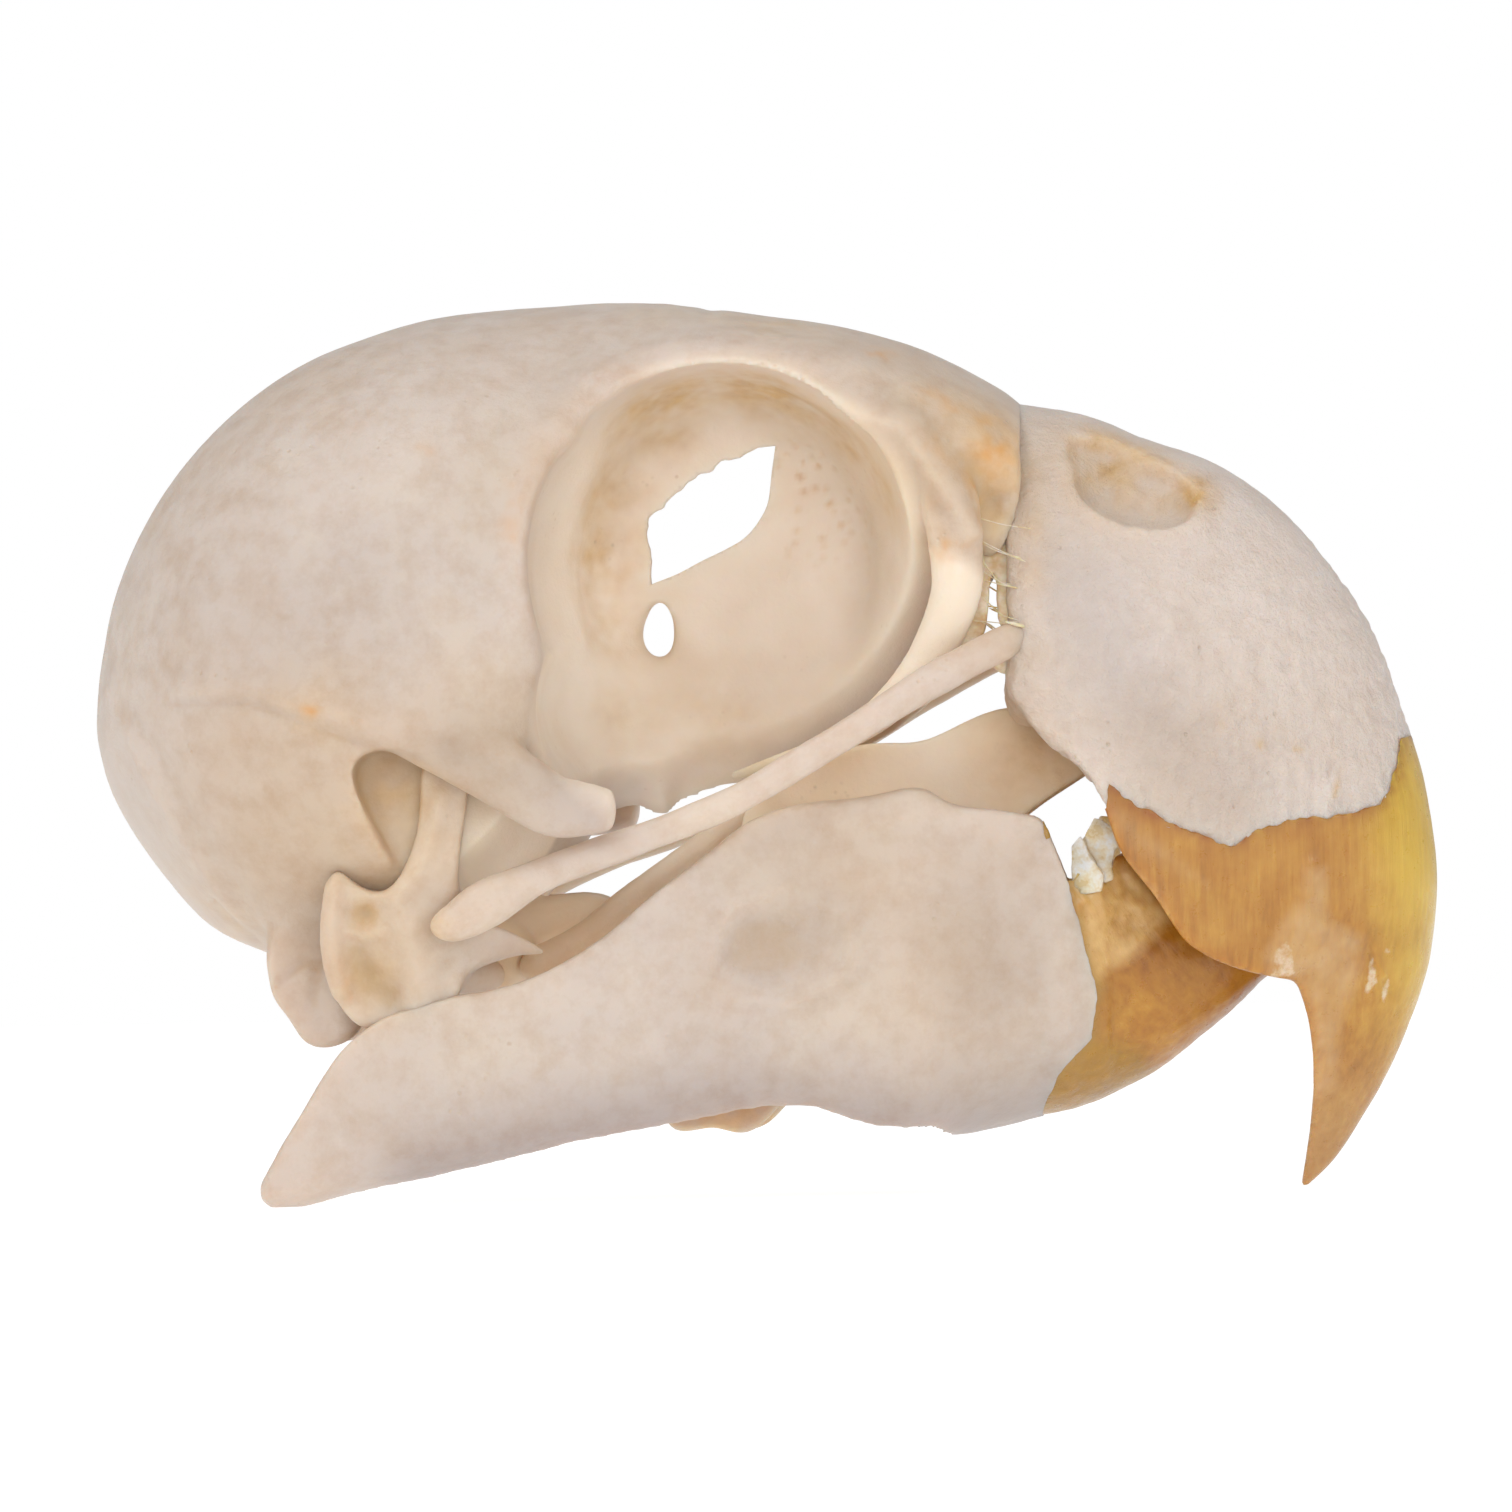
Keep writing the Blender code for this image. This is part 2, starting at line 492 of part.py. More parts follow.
def main():
    clear_scene()
    home = new_collection("parrot_skull")
    tools = new_collection("tools")
    bone = surface("bone", (0.78, 0.68, 0.56), 0.45)
    upper_horn = surface("upper_horn", (0.72, 0.47, 0.12), 0.3)
    lower_horn = surface("lower_horn", (0.66, 0.4, 0.1), 0.3)

    cranium = make_cranium(home, tools)
    upper_bone, upper_sheath = make_upper_bill(home, tools)
    jaw, lower_sheath = make_lower_bill(home, tools)
    bones = [cranium, upper_bone, jaw]
    for word, side in SIDES.items():
        for kind, (points, radii) in (("jugal_bar", JUGAL), ("pterygoid", PTERYGOID)):
            bones.append(strut(f"{kind}_{word}", [on_side(p, side) for p in points], radii, home))
        bones.append(make_quadrate(word, side, home, tools))
        bones.append(make_palatine(word, side, home))

    tip = math.atan2(HOOK_POINT[1] - JAW_HEEL[1], HOOK_POINT[0] - JAW_HEEL[0])
    pose = bpy.data.objects.new("skull_rest", None)
    home.objects.link(pose)
    pose.rotation_euler = (0.0, tip, 0.0)
    drop = JAW_HEEL[0] * math.sin(-tip) + JAW_HEEL[1] * math.cos(tip)
    pose.location = (-SKULL_MIDDLE_X * MM, 0.0, -(drop + REST_FLAT_DEPTH) * MM)
    floor = floor_cutter(tools)
    for obj in [*bones, upper_sheath, lower_sheath]:
        obj.parent = pose
        material = {upper_sheath: upper_horn, lower_sheath: lower_horn}.get(obj, bone)
        obj.data.materials.clear()
        obj.data.materials.append(material)
        if obj.type == "MESH":
            obj.data.shade_smooth()
            obj.data.set_sharp_from_angle(angle=math.radians(35))
    for foot in (jaw, upper_sheath):
        level = foot.modifiers.new("level_feet", "BOOLEAN")
        level.object = floor
        level.operation = "DIFFERENCE"
        level.solver = "EXACT"
    floor.hide_render = True
    floor.display_type = "WIRE"


main()
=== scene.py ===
import math

import bmesh
import bpy
import numpy as np
from mathutils import Matrix, Vector, noise


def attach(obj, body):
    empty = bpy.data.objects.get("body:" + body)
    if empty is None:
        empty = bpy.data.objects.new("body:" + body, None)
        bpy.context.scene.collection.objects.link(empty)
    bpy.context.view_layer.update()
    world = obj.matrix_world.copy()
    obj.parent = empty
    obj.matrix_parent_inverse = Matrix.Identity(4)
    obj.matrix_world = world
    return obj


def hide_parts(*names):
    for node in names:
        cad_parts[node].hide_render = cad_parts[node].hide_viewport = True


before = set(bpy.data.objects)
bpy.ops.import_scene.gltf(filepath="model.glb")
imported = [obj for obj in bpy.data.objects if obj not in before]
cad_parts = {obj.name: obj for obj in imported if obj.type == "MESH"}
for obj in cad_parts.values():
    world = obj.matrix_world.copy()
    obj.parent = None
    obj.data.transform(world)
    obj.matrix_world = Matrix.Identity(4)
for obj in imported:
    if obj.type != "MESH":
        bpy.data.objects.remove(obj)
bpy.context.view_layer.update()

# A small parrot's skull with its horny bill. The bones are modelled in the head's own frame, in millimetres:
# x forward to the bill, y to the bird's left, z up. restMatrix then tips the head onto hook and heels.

mm = 0.001
sides = {"right": -1, "left": 1}

rest = {
    "hook": (17.66, 0.62),     # x and z of the point of the bill
    "heel": (-15.7, 0.0),      # x and z of the jaw's heel
    "worn": 0.12,              # how deep the three feet are worn flat
    "middleX": 0.24,           # x that comes to lie at the frame's middle
}
tip = math.atan2(rest["hook"][1] - rest["heel"][1], rest["hook"][0] - rest["heel"][0])
drop = rest["heel"][0] * math.sin(-tip) + rest["heel"][1] * math.cos(tip)
restShift = Vector((-rest["middleX"], 0, -(drop + rest["worn"]))) * mm
restMatrix = Matrix.Translation(restShift) @ Matrix.Rotation(tip, 4, "Y")


# camera

photo = {
    "width": 49.68,            # mm across the square picture, at the middle of the head
    "centre": (-0.34, 14.82),  # x and z at the middle of the picture
    "distance": 800.0,         # mm from the camera to the middle of the head
    "turn": 2.0,               # degrees towards the bill
    "sensor": 36.0,
}


def inScene(name, data):
    obj = bpy.data.objects.new(name, data)
    bpy.context.scene.collection.objects.link(obj)
    return obj


def addCamera():
    data = bpy.data.cameras.new("photoCamera")
    data.sensor_width = photo["sensor"]
    data.lens = photo["sensor"] * photo["distance"] / photo["width"]
    data.clip_start, data.clip_end = 0.01, 20.0
    camera = inScene("photoCamera", data)
    turn = math.radians(photo["turn"])
    away = Vector((math.sin(turn), -math.cos(turn), 0))
    right = Vector((math.cos(turn), math.sin(turn), 0))
    place = Vector((photo["centre"][0], 0, photo["centre"][1])) + away * photo["distance"]
    look = Matrix((right, (0, 0, 1), away)).transposed().to_4x4()
    camera.matrix_world = restMatrix @ Matrix.Translation(place * mm) @ look
    bpy.context.scene.camera = camera


addCamera()
print("camera placed")


# mesh helpers: every function takes and gives millimetres in the head's frame

def onSide(point, side):
    return (point[0], point[1] * side, point[2])


def smoothRows(rows, count, roundStart=False):
    # reads a table of ribs at evenly spaced places, by a monotone cubic so that nothing overshoots
    rows = np.array(rows, float)
    first = 0
    if roundStart:
        ghost = 2 * rows[0] - rows[1]
        ghost[0] = rows[1, 0]
        rows = np.vstack([ghost, rows])
        first = 1
    at = np.linspace(first + (0.05 if roundStart else 0), len(rows) - 1, count)
    slope = np.diff(rows, axis=0)
    product = slope[:-1] * slope[1:]
    total = slope[:-1] + slope[1:]
    inner = np.where(product > 0, 2 * product / np.where(product > 0, total, 1), 0)
    tangent = np.vstack([slope[:1], inner, slope[-1:]])
    index = np.clip(at.astype(int), 0, len(rows) - 2)
    t = (at - index)[:, None]
    return (
        (1 + 2 * t) * (1 - t) ** 2 * rows[index]
        + t * (1 - t) ** 2 * tangent[index]
        + t * t * (3 - 2 * t) * rows[index + 1]
        - t * t * (1 - t) * tangent[index + 1]
    )


def addMesh(name, points, faces):
    mesh = bpy.data.meshes.new(name)
    mesh.from_pydata((np.asarray(points, float) * mm).tolist(), [], faces)
    bm = bmesh.new()
    bm.from_mesh(mesh)
    bmesh.ops.recalc_face_normals(bm, faces=bm.faces)
    bm.to_mesh(mesh)
    bm.free()
    return inScene(name, mesh)


def loft(name, rings):
    rings = np.array(rings, float)
    rows, around = rings.shape[:2]
    index = np.arange(rows * around).reshape(rows, around)
    here, there = index[:-1], index[1:]
    quads = np.stack([here, np.roll(here, -1, 1), np.roll(there, -1, 1), there], -1).reshape(-1, 4)
    return addMesh(name, rings.reshape(-1, 3), quads.tolist() + [index[0].tolist(), index[-1].tolist()])


def ball(name, centre, radii, tilt=0.0, side=1, finish=48, keepOut=None):
    # an egg shape tipped about y; keepOut holds its points at least so far from the middle plane
    bm = bmesh.new()
    bmesh.ops.create_uvsphere(bm, u_segments=finish, v_segments=finish // 2, radius=1.0)
    points = np.array([v.co for v in bm.verts]) * radii
    faces = [[v.index for v in face.verts] for face in bm.faces]
    bm.free()
    turn = math.radians(tilt)
    spin = np.array([[math.cos(turn), 0, math.sin(turn)], [0, 1, 0], [-math.sin(turn), 0, math.cos(turn)]])
    points = points @ spin.T + onSide(centre, side)
    if keepOut is not None:
        points[:, 1] = side * np.maximum(side * points[:, 1], keepOut)
    return addMesh(name, points, faces)


def rod(name, points, radii, side=1, around=16, steps=40, flatten=1.0, roundEnds=True):
    # a bone that swells and tapers along a smooth line; flatten thins it across the head
    rows = smoothRows([(*onSide(p, side), r) for p, r in zip(points, radii)], steps)
    line, radius = rows[:, :3], rows[:, 3].copy()
    if roundEnds:
        length = np.concatenate([[0], np.cumsum(np.linalg.norm(np.diff(line, axis=0), axis=1))])
        for reach in (length, length[-1] - length):
            near = np.clip(reach / radius, 0, 1)
            radius = radius * np.sqrt(np.clip(1 - (1 - near) ** 2, 0.02, 1))
    along = np.gradient(line, axis=0)
    along /= np.linalg.norm(along, axis=1)[:, None]
    across = np.cross(along, (0, 1, 0))
    across /= np.linalg.norm(across, axis=1)[:, None]
    other = np.cross(along, across)
    angle = np.linspace(0, 2 * math.pi, around, endpoint=False)
    rings = (
        line[:, None]
        + radius[:, None, None] * np.cos(angle)[None, :, None] * across[:, None]
        + flatten * radius[:, None, None] * np.sin(angle)[None, :, None] * other[:, None]
    )
    return loft(name, rings)


def slab(name, outline, half, middle=0.0):
    # a closed outline in the side view with a thickness across the head
    outline = np.array(outline, float)
    count = len(outline)
    near = np.insert(outline, 1, middle - half, 1)
    far = np.insert(outline, 1, middle + half, 1)
    index = list(range(count))
    walls = [[i, (i + 1) % count, count + (i + 1) % count, count + i] for i in index]
    return addMesh(name, np.vstack([near, far]), walls + [index, [count + i for i in index]])


def applied(obj):
    # the object with its modifiers carried out
    bpy.context.view_layer.update()
    graph = bpy.context.evaluated_depsgraph_get()
    mesh = bpy.data.meshes.new_from_object(obj.evaluated_get(graph))
    old = obj.data
    obj.modifiers.clear()
    obj.data = mesh
    bpy.data.meshes.remove(old)
    return obj


def combine(host, others, operation):
    for other in others:
        step = host.modifiers.new(operation.lower(), "BOOLEAN")
        step.operation, step.object, step.solver = operation, other, "MANIFOLD"
    applied(host)
    for other in others:
        bpy.data.objects.remove(other)
    return host


def cutBy(obj, outline, half, middle=0.0):
    # takes the shape of an outline out of the object
    return combine(obj, [slab("cut", outline, half, middle)], "DIFFERENCE")


def shape(obj, eggs):
    # joins eggs to the object or takes them out of it, on both sides
    for side in sides.values():
        for operation, *egg in eggs:
            combine(obj, [ball("egg", *egg, side=side)], operation)


def remesh(obj, voxel, rounds, spots=()):
    step = obj.modifiers.new("voxels", "REMESH")
    step.mode, step.voxel_size, step.use_smooth_shade = "VOXEL", voxel * mm, True
    relax(applied(obj), rounds, spots)


def readRows(items, key, width, kind=np.float32):
    flat = np.empty(len(items) * width, kind)
    items.foreach_get(key, flat)
    return flat.reshape(-1, width)


def readPoints(obj):
    return readRows(obj.data.vertices, "co", 3).astype(float) / mm


def writePoints(obj, points):
    obj.data.vertices.foreach_set("co", (points * mm).astype(np.float32).ravel())
    obj.data.update()


def readNormals(obj):
    return readRows(obj.data.vertex_normals, "vector", 3).astype(float)


def readEdges(obj):
    return readRows(obj.data.edges, "vertices", 2, np.int32)


def swell(obj, heights):
    # moves the surface out along its normals, by one height or by one for each point
    writePoints(obj, readPoints(obj) + np.reshape(heights, (-1, 1)) * readNormals(obj))


def averages(points, edges):
    # the mean of each point's neighbours
    a, b = edges.T
    count = len(points)
    ways = np.bincount(a, minlength=count) + np.bincount(b, minlength=count)
    total = [
        np.bincount(a, points[b, k], count) + np.bincount(b, points[a, k], count)
        for k in range(points.shape[1])
    ]
    return np.stack(total, 1) / np.maximum(ways, 1)[:, None]


def relax(obj, rounds, spots=()):
    # takes out the voxel steps without shrinking, then softens both sides along each (path, radius, rounds)
    points, edges = readPoints(obj), readEdges(obj)
    for push in (0.5, -0.53) * rounds:
        points += push * (averages(points, edges) - points)
    both = folded(points)
    for path, radius, extra in spots:
        weight = np.clip(1.5 - 1.5 * lineDistance(both, path) / radius, 0, 1)
        near = np.nonzero(weight[edges].max(1) > 0)[0]
        for _ in range(extra):
            points += 0.6 * weight[:, None] * (averages(points, edges[near]) - points)
    writePoints(obj, points)


def folded(points):
    # both sides laid over each other
    return np.stack([points[:, 0], np.abs(points[:, 1]), points[:, 2]], 1)


def fading(distance, reach):
    return np.exp(-(distance / reach) ** 2)


def lineDistance(points, path):
    # how far each point is from a path of one or more points, both with 2 or 3 coordinates
    path = np.atleast_2d(np.array(path, float))
    path = np.vstack([path, path[-1] + 1e-6])
    best = np.full(len(points), 1e9)
    for start, end in zip(path, path[1:]):
        run = end - start
        at = np.clip((points - start) @ run / (run @ run), 0, 1)
        best = np.minimum(best, np.linalg.norm(points - start - at[:, None] * run, axis=1))
    return best


def rough(points, size, seed=0.0):
    # smooth random heights from -1 to 1 with features of this size
    offset = Vector((seed * 17.3, seed * 5.1, seed * 9.7))
    return np.array([noise.noise(Vector(p) + offset) for p in points / size])


def stroke(path, width, height, start=-9, end=99, allRound=False):
    # a ridge or groove drawn in the side view, between two distances from the middle plane
    return path, width, height, start, end, allRound


def carve(obj, strokes):
    # strokes mark the faces that look outwards, or all faces
    points, normals = readPoints(obj), readNormals(obj)
    facing = np.clip(1.6 * normals[:, 1] * np.sign(points[:, 1]), 0, 1)
    flat, deep = points[:, [0, 2]], np.abs(points[:, 1])
    push = np.zeros(len(points))
    for path, width, height, start, end, allRound in strokes:
        near = fading(lineDistance(flat, path), width)
        inside = np.clip(deep - start + 0.5, 0, 1) * np.clip(end - deep + 0.5, 0, 1)
        push += height * near * inside * (1 if allRound else facing)
    swell(obj, push)


def grain(obj, layers, where=None):
    # lays random unevenness over the surface: (size, height, seed) in millimetres
    points = readPoints(obj)
    push = sum(height * rough(points, size, seed) for size, height, seed in layers)
    swell(obj, push if where is None else push * where(points))


def sievePattern(points, spots, size):
    # how deep each point lies in a sieve of small round pits inside the spots of (x, y, z, radius, strength)
    near = spotMask(points, spots)
    found = np.zeros(len(points))
    for index in np.nonzero(near > 0.05)[0]:
        nearest = noise.voronoi(Vector(points[index] / size))[0][0]
        found[index] = near[index] * max(0.0, 1 - nearest / 0.45)
    return found


def roundedOutline(outline, steps):
    # a closed cubic B-spline, which keeps inside its corner points
    corners = np.array(outline, float)
    t = np.linspace(0, 1, steps, endpoint=False)[:, None]
    weights = ((1 - t) ** 3, 3 * t ** 3 - 6 * t ** 2 + 4, -3 * t ** 3 + 3 * t ** 2 + 3 * t + 1, t ** 3)
    count = len(corners)
    return np.vstack([
        sum(weight * corners[(start + turn) % count] for turn, weight in enumerate(weights)) / 6
        for start in range(count)
    ])


def setMask(obj, name, values):
    # keeps one value for each point on the mesh, where the materials read it
    data = obj.data.attributes.new(name, "FLOAT", "POINT")
    data.data.foreach_set("value", np.clip(values, 0, 1).astype(np.float32))


def spotMask(points, spots):
    # soft patches of (x, y, z, radius, strength), the same on both sides
    place = folded(points)
    found = np.zeros(len(points))
    for *spot, radius, strength in spots:
        found = np.maximum(found, strength * fading(np.linalg.norm(place - spot, axis=1), radius))
    return found


def flatMask(points, marks):
    # the same, for marks of (path, width, strength) that are drawn in the side view
    found = np.zeros(len(points))
    for path, width, strength in marks:
        found = np.maximum(found, strength * fading(lineDistance(points[:, [0, 2]], path), width))
    return found


def areaMask(points, areas, blend):
    # 1 inside closed outlines drawn in the side view, with a soft edge
    flat = points[:, [0, 2]]
    found = np.zeros(len(flat))
    for outline, strength in areas:
        corners = np.array(outline, float)
        inside = np.zeros(len(flat), bool)
        for (x1, z1), (x2, z2) in zip(corners, np.roll(corners, -1, 0)):
            if z1 != z2:
                crossed = x1 + (flat[:, 1] - z1) * (x2 - x1) / (z2 - z1)
                inside ^= ((z1 > flat[:, 1]) != (z2 > flat[:, 1])) & (flat[:, 0] < crossed)
        deep = lineDistance(flat, [*corners, corners[0]]) * np.where(inside, 1, -1)
        found = np.maximum(found, strength * np.clip(0.5 + deep / blend, 0, 1))
    return found


def hollowMask(obj, rounds):
    # how far each point lies below its surroundings
    points, normals, edges = readPoints(obj), readNormals(obj), readEdges(obj)
    wide = points.copy()
    for _ in range(rounds):
        wide = averages(wide, edges)
    return np.einsum("ij,ij->i", wide - points, normals)


# braincase, brow and eye sockets

cranium = {
    "stations": 120,
    "around": 132,
    "voxel": 0.12,
    # nape to bill hinge: x, crown, base, half width, height of the widest line, narrowing below that line
    "ribs": (
        (-22.0, 15.9, 15.9, 0.0, 15.9, 1.0),
        (-21.6, 19.2, 14.0, 3.7, 16.2, 1.0),
        (-20.1, 22.9, 11.3, 7.0, 16.6, 1.0),
        (-17.4, 26.15, 8.7, 9.6, 16.9, 0.85),
        (-14.2, 28.15, 7.9, 10.8, 17.0, 0.8),
        (-10.6, 29.25, 8.2, 11.2, 17.4, 0.85),
        (-7.3, 29.6, 10.1, 10.3, 19.0, 1.1),
        (-5.1, 29.7, 13.0, 8.8, 23.2, 1.6),
        (-4.3, 29.7, 13.15, 8.35, 24.1, 1.9),
        (-3.4, 29.68, 12.85, 8.0, 24.9, 2.1),
        (-2.7, 29.6, 13.4, 7.8, 25.6, 2.4),
        (-1.2, 29.45, 13.7, 7.5, 26.4, 2.6),
        (0.2, 29.25, 13.75, 7.4, 26.4, 2.6),
        (2.0, 29.0, 14.8, 7.3, 26.3, 2.6),
        (4.7, 28.3, 16.7, 7.2, 25.6, 2.2),
        (6.6, 27.45, 19.2, 6.8, 24.8, 1.8),
        (7.9, 26.72, 21.3, 6.2, 24.2, 1.4),
        (8.4, 26.3, 21.8, 5.85, 24.2, 1.4),
    ),
    "roofFullness": 0.85,
    "orbit": ((-1.2, 8.0, 20.95), (6.3, 10.5, 6.75)),
    "septumHalf": 0.5,
    "orbitRear": ((-3.3, 8.0, 16.5), (4.0, 7.0, 3.8)),
    # hole in the wall between the sockets: its smooth front edge, then its torn rear edge
    "windowFront": ((-0.3, 24.95), (0.32, 25.02), (0.2, 24.2), (0.08, 23.2), (-0.25, 22.5), (-0.74, 21.95),
                    (-1.33, 21.6), (-2.05, 21.25), (-2.9, 20.8), (-3.78, 20.45)),
    "windowRear": ((-3.78, 20.45), (-3.83, 21.3), (-3.98, 21.9), (-3.86, 22.65), (-3.4, 22.9), (-3.2, 23.3),
                   (-2.85, 23.6), (-2.35, 24.05), (-1.8, 24.2), (-1.4, 24.5), (-0.9, 24.6), (-0.3, 24.95)),
    "raggedness": 0.1,
    "opticHole": ((-3.5, 0.0, 18.9), (0.5, 4.0, 1.0)),
    # bars and ridges: line, radii, then how far each is flattened across the head
    "bars": {
        "eyeBar": (
            ((5.6, 6.3, 25.6), (6.3, 6.5, 22.6), (6.45, 6.4, 20.6), (5.5, 5.85, 18.0), (3.0, 5.4, 15.6),
             (0.6, 4.4, 14.7), (-1.3, 2.6, 14.1)),
            (1.0, 0.95, 0.85, 0.72, 0.5, 0.4, 0.35), 0.75,
        ),
        "cheekHorn": (
            ((-13.2, 9.9, 16.6), (-10.8, 10.0, 15.6), (-8.3, 10.0, 14.3), (-6.3, 10.0, 13.15),
             (-4.5, 9.85, 13.05)),
            (0.8, 1.1, 1.15, 1.0, 0.76), 0.7,
        ),
        "hingeWeb": (
            ((7.7, 5.3, 25.6), (7.75, 5.35, 24.0), (7.6, 5.4, 22.7), (7.3, 5.4, 21.3)),
            (0.7, 0.75, 0.7, 0.45), 0.5,
        ),
        "basalRidge": (
            ((-9.6, 2.8, 8.8), (-7.8, 2.6, 9.2), (-6.0, 2.3, 9.55), (-4.9, 2.1, 9.9)),
            (1.0, 0.95, 0.8, 0.4), 1.0,
        ),
        "basalKnob": (((-11.0, 3.4, 8.6), (-9.2, 3.3, 8.3), (-7.4, 3.2, 8.4)), (1.5, 1.55, 1.2), 1.0),
    },
    # on the left the bar in front of the socket is worn back
    "leftNotch": ((6.9, 21.3), (7.6, 21.2), (9.5, 21.2), (9.5, 18.0), (5.6, 18.0), (6.3, 19.2), (6.5, 20.4)),
    "leftNotchAcross": (3.5, 6.5),  # half the thickness of the cut and its middle
    # thin plate behind the ear: outline in the side view, half its thickness and its middle across the head
    "napePlate": (
        (-16.2, 9.4), (-16.1, 8.2), (-15.95, 6.9), (-15.4, 6.4), (-15.0, 5.65), (-14.5, 5.3), (-13.7, 5.4),
        (-12.8, 6.0), (-12.9, 7.6), (-13.2, 9.6), (-14.4, 11.2), (-15.8, 11.0),
    ),
    "napePlateAcross": (0.5, 6.2),
    "earOutline": (
        (-13.5, 14.6), (-12.2, 15.1), (-11.0, 15.1), (-9.9, 14.4), (-8.9, 13.6), (-7.4, 12.8), (-5.8, 11.6),
        (-6.2, 10.2), (-8.0, 9.0), (-9.8, 9.2), (-11.4, 10.4), (-12.4, 12.4),
    ),
    "earFloor": 8.6,
    "earReach": 4.0,
    "seat": ((-12.3, 8.3, 8.65), (1.75, 1.15, 1.55)),
    "neckHole": ((-17.6, 0.0, 8.2), (1.9, 1.9, 1.7)),
    "condyle": ((-15.2, 0.0, 7.7), 0.75),
    # places that are rounded off: path, radius, rounds
    "soften": (
        ((5.6, 6.3, 25.6), 2.6, 25), ((6.4, 5.9, 22.0), 1.6, 12),
        (((-11.5, 10.2, 16.6), (-8.6, 9.8, 15.8)), 2.6, 35),
        (((-16.0, 6.4, 10.4), (-13.2, 6.8, 9.9)), 2.2, 110), ((0.8, 5.0, 14.8), 1.8, 20),
        (((-6.9, 8.5, 18.0), (-7.2, 7.5, 14.5), (-4.0, 3.0, 13.2)), 2.0, 35),
        ([(-1.3 + 4.7 * math.cos(t / 3), 0.8, 20.9 + 5.0 * math.sin(t / 3)) for t in range(20)], 2.2, 110),
        ((-4.5, 9.85, 13.0), 1.7, 45),
        ([(-1.2 + 5.6 * math.cos(t / 3), 4.2, 20.9 + 6.0 * math.sin(t / 3)) for t in range(20)], 2.0, 25),
        (((-6.9, 9.9, 16.4), (-7.4, 9.9, 19.0), (-7.4, 9.5, 22.0), (-6.4, 8.4, 25.6), (-4.4, 7.6, 27.2)),
         1.7, 70),
        (((-5.8, 3.0, 18.2), (-4.4, 1.8, 17.0), (-2.4, 1.2, 16.4), (0.5, 1.5, 15.6)), 3.0, 150),
        (((-13.2, 9.0, 14.6), (-12.2, 8.6, 12.2), (-11.0, 7.6, 10.2)), 1.4, 20),
    ),
    # thin, sieve-like bone at the top of the wall between the sockets
    "sieve": ((1.0, 0.6, 24.2, 1.5, 1.0), (2.0, 0.6, 22.8, 1.5, 0.9), (2.6, 0.6, 24.6, 1.3, 0.8),
              (0.9, 0.6, 21.8, 0.7, 0.6)),
    "sieveSize": 0.42,
    "sieveDepth": 0.12,
    "grain": ((5.0, 0.07, 1), (1.8, 0.022, 2), (0.6, 0.006, 3)),
    "strokes": (
        # crease and ridge over the temple
        stroke(((-18.9, 16.5), (-16.5, 16.5), (-14.2, 15.7), (-11.9, 14.8)), 0.2, -0.08, 4),
        stroke(((-18.6, 16.95), (-16.4, 16.95), (-13.9, 16.2), (-11.9, 15.5)), 0.45, 0.1, 4),
        stroke(((-14.4, 16.4), (-12.2, 16.0), (-10.0, 15.7), (-8.0, 15.2)), 0.8, 0.22, 6),
        # hollow of the temple, behind the socket
        stroke(((-9.3, 23.0), (-9.6, 19.5), (-11.0, 18.6), (-14.5, 18.4)), 1.9, -0.22, 5),
        # crest of the nape
        stroke(((-21.3, 16.9), (-20.3, 14.9), (-18.9, 12.2), (-16.9, 9.1)), 0.3, 0.16),
        stroke(((-20.6, 16.4), (-19.6, 14.6), (-18.2, 12.1), (-16.3, 9.4)), 0.5, -0.1),
        # raised rim of the socket and the groove outside it
        stroke(((-7.4, 19.4), (-7.5, 22.5), (-6.8, 25.3), (-5.2, 27.3), (-2.8, 28.2), (0.4, 28.35),
                (3.0, 27.5), (5.0, 25.6), (6.0, 23.4)), 0.55, 0.16, 5),
        stroke(((-8.9, 20.4), (-8.9, 23.5), (-8.0, 26.4), (-5.6, 28.5)), 0.7, -0.1, 5),
        # bar down the back of the socket
        stroke(((-6.1, 25.2), (-5.9, 22.0), (-6.1, 18.6)), 0.55, 0.2, 2, allRound=True),
        # swell across the wall between the sockets
        stroke(((-3.2, 15.2), (-1.4, 17.6), (0.6, 19.4), (1.6, 21.2)), 1.0, 0.18, end=1.4, allRound=True),
        stroke(((2.6, 17.0), (3.6, 19.8), (3.4, 22.8)), 0.9, -0.14, end=1.4, allRound=True),
        # step across the roof
        stroke(((-1.95, 30.5), (-1.75, 28.6)), 0.3, -0.06, end=3.5, allRound=True),
        # ridges in front of the socket
        stroke(((1.1, 26.7), (4.5, 25.5), (6.0, 23.7), (6.9, 22.1)), 0.4, 0.26, 4),
        stroke(((2.2, 27.4), (5.4, 26.2), (7.2, 24.2), (7.7, 22.8)), 0.5, -0.22, 3),
        # folds of the plate behind the ear, and the crack along the nape
        stroke(((-15.75, 7.3), (-14.8, 8.0), (-14.2, 8.05)), 0.22, -0.14, 4),
        stroke(((-14.4, 7.8), (-14.55, 6.7)), 0.25, -0.08, 4),
        stroke(((-13.7, 7.4), (-13.6, 6.0)), 0.4, 0.12, 4),
        stroke(((-17.9, 10.0), (-17.2, 9.4), (-16.7, 8.9), (-16.2, 8.3)), 0.16, -0.2, 1.5),
    ),
}


def craniumRing(x, crown, base, half, belt, narrowing):
    angle = np.linspace(0, 2 * math.pi, cranium["around"], endpoint=False)
    up, out = np.cos(angle), np.sin(angle)
    power = np.where(up > 0, cranium["roofFullness"], narrowing)
    y = half * np.sign(out) * np.abs(out) ** power
    z = belt + np.where(up > 0, (crown - belt) * up, (belt - base) * up)
    return np.stack([np.full(len(y), x), y, z], 1)


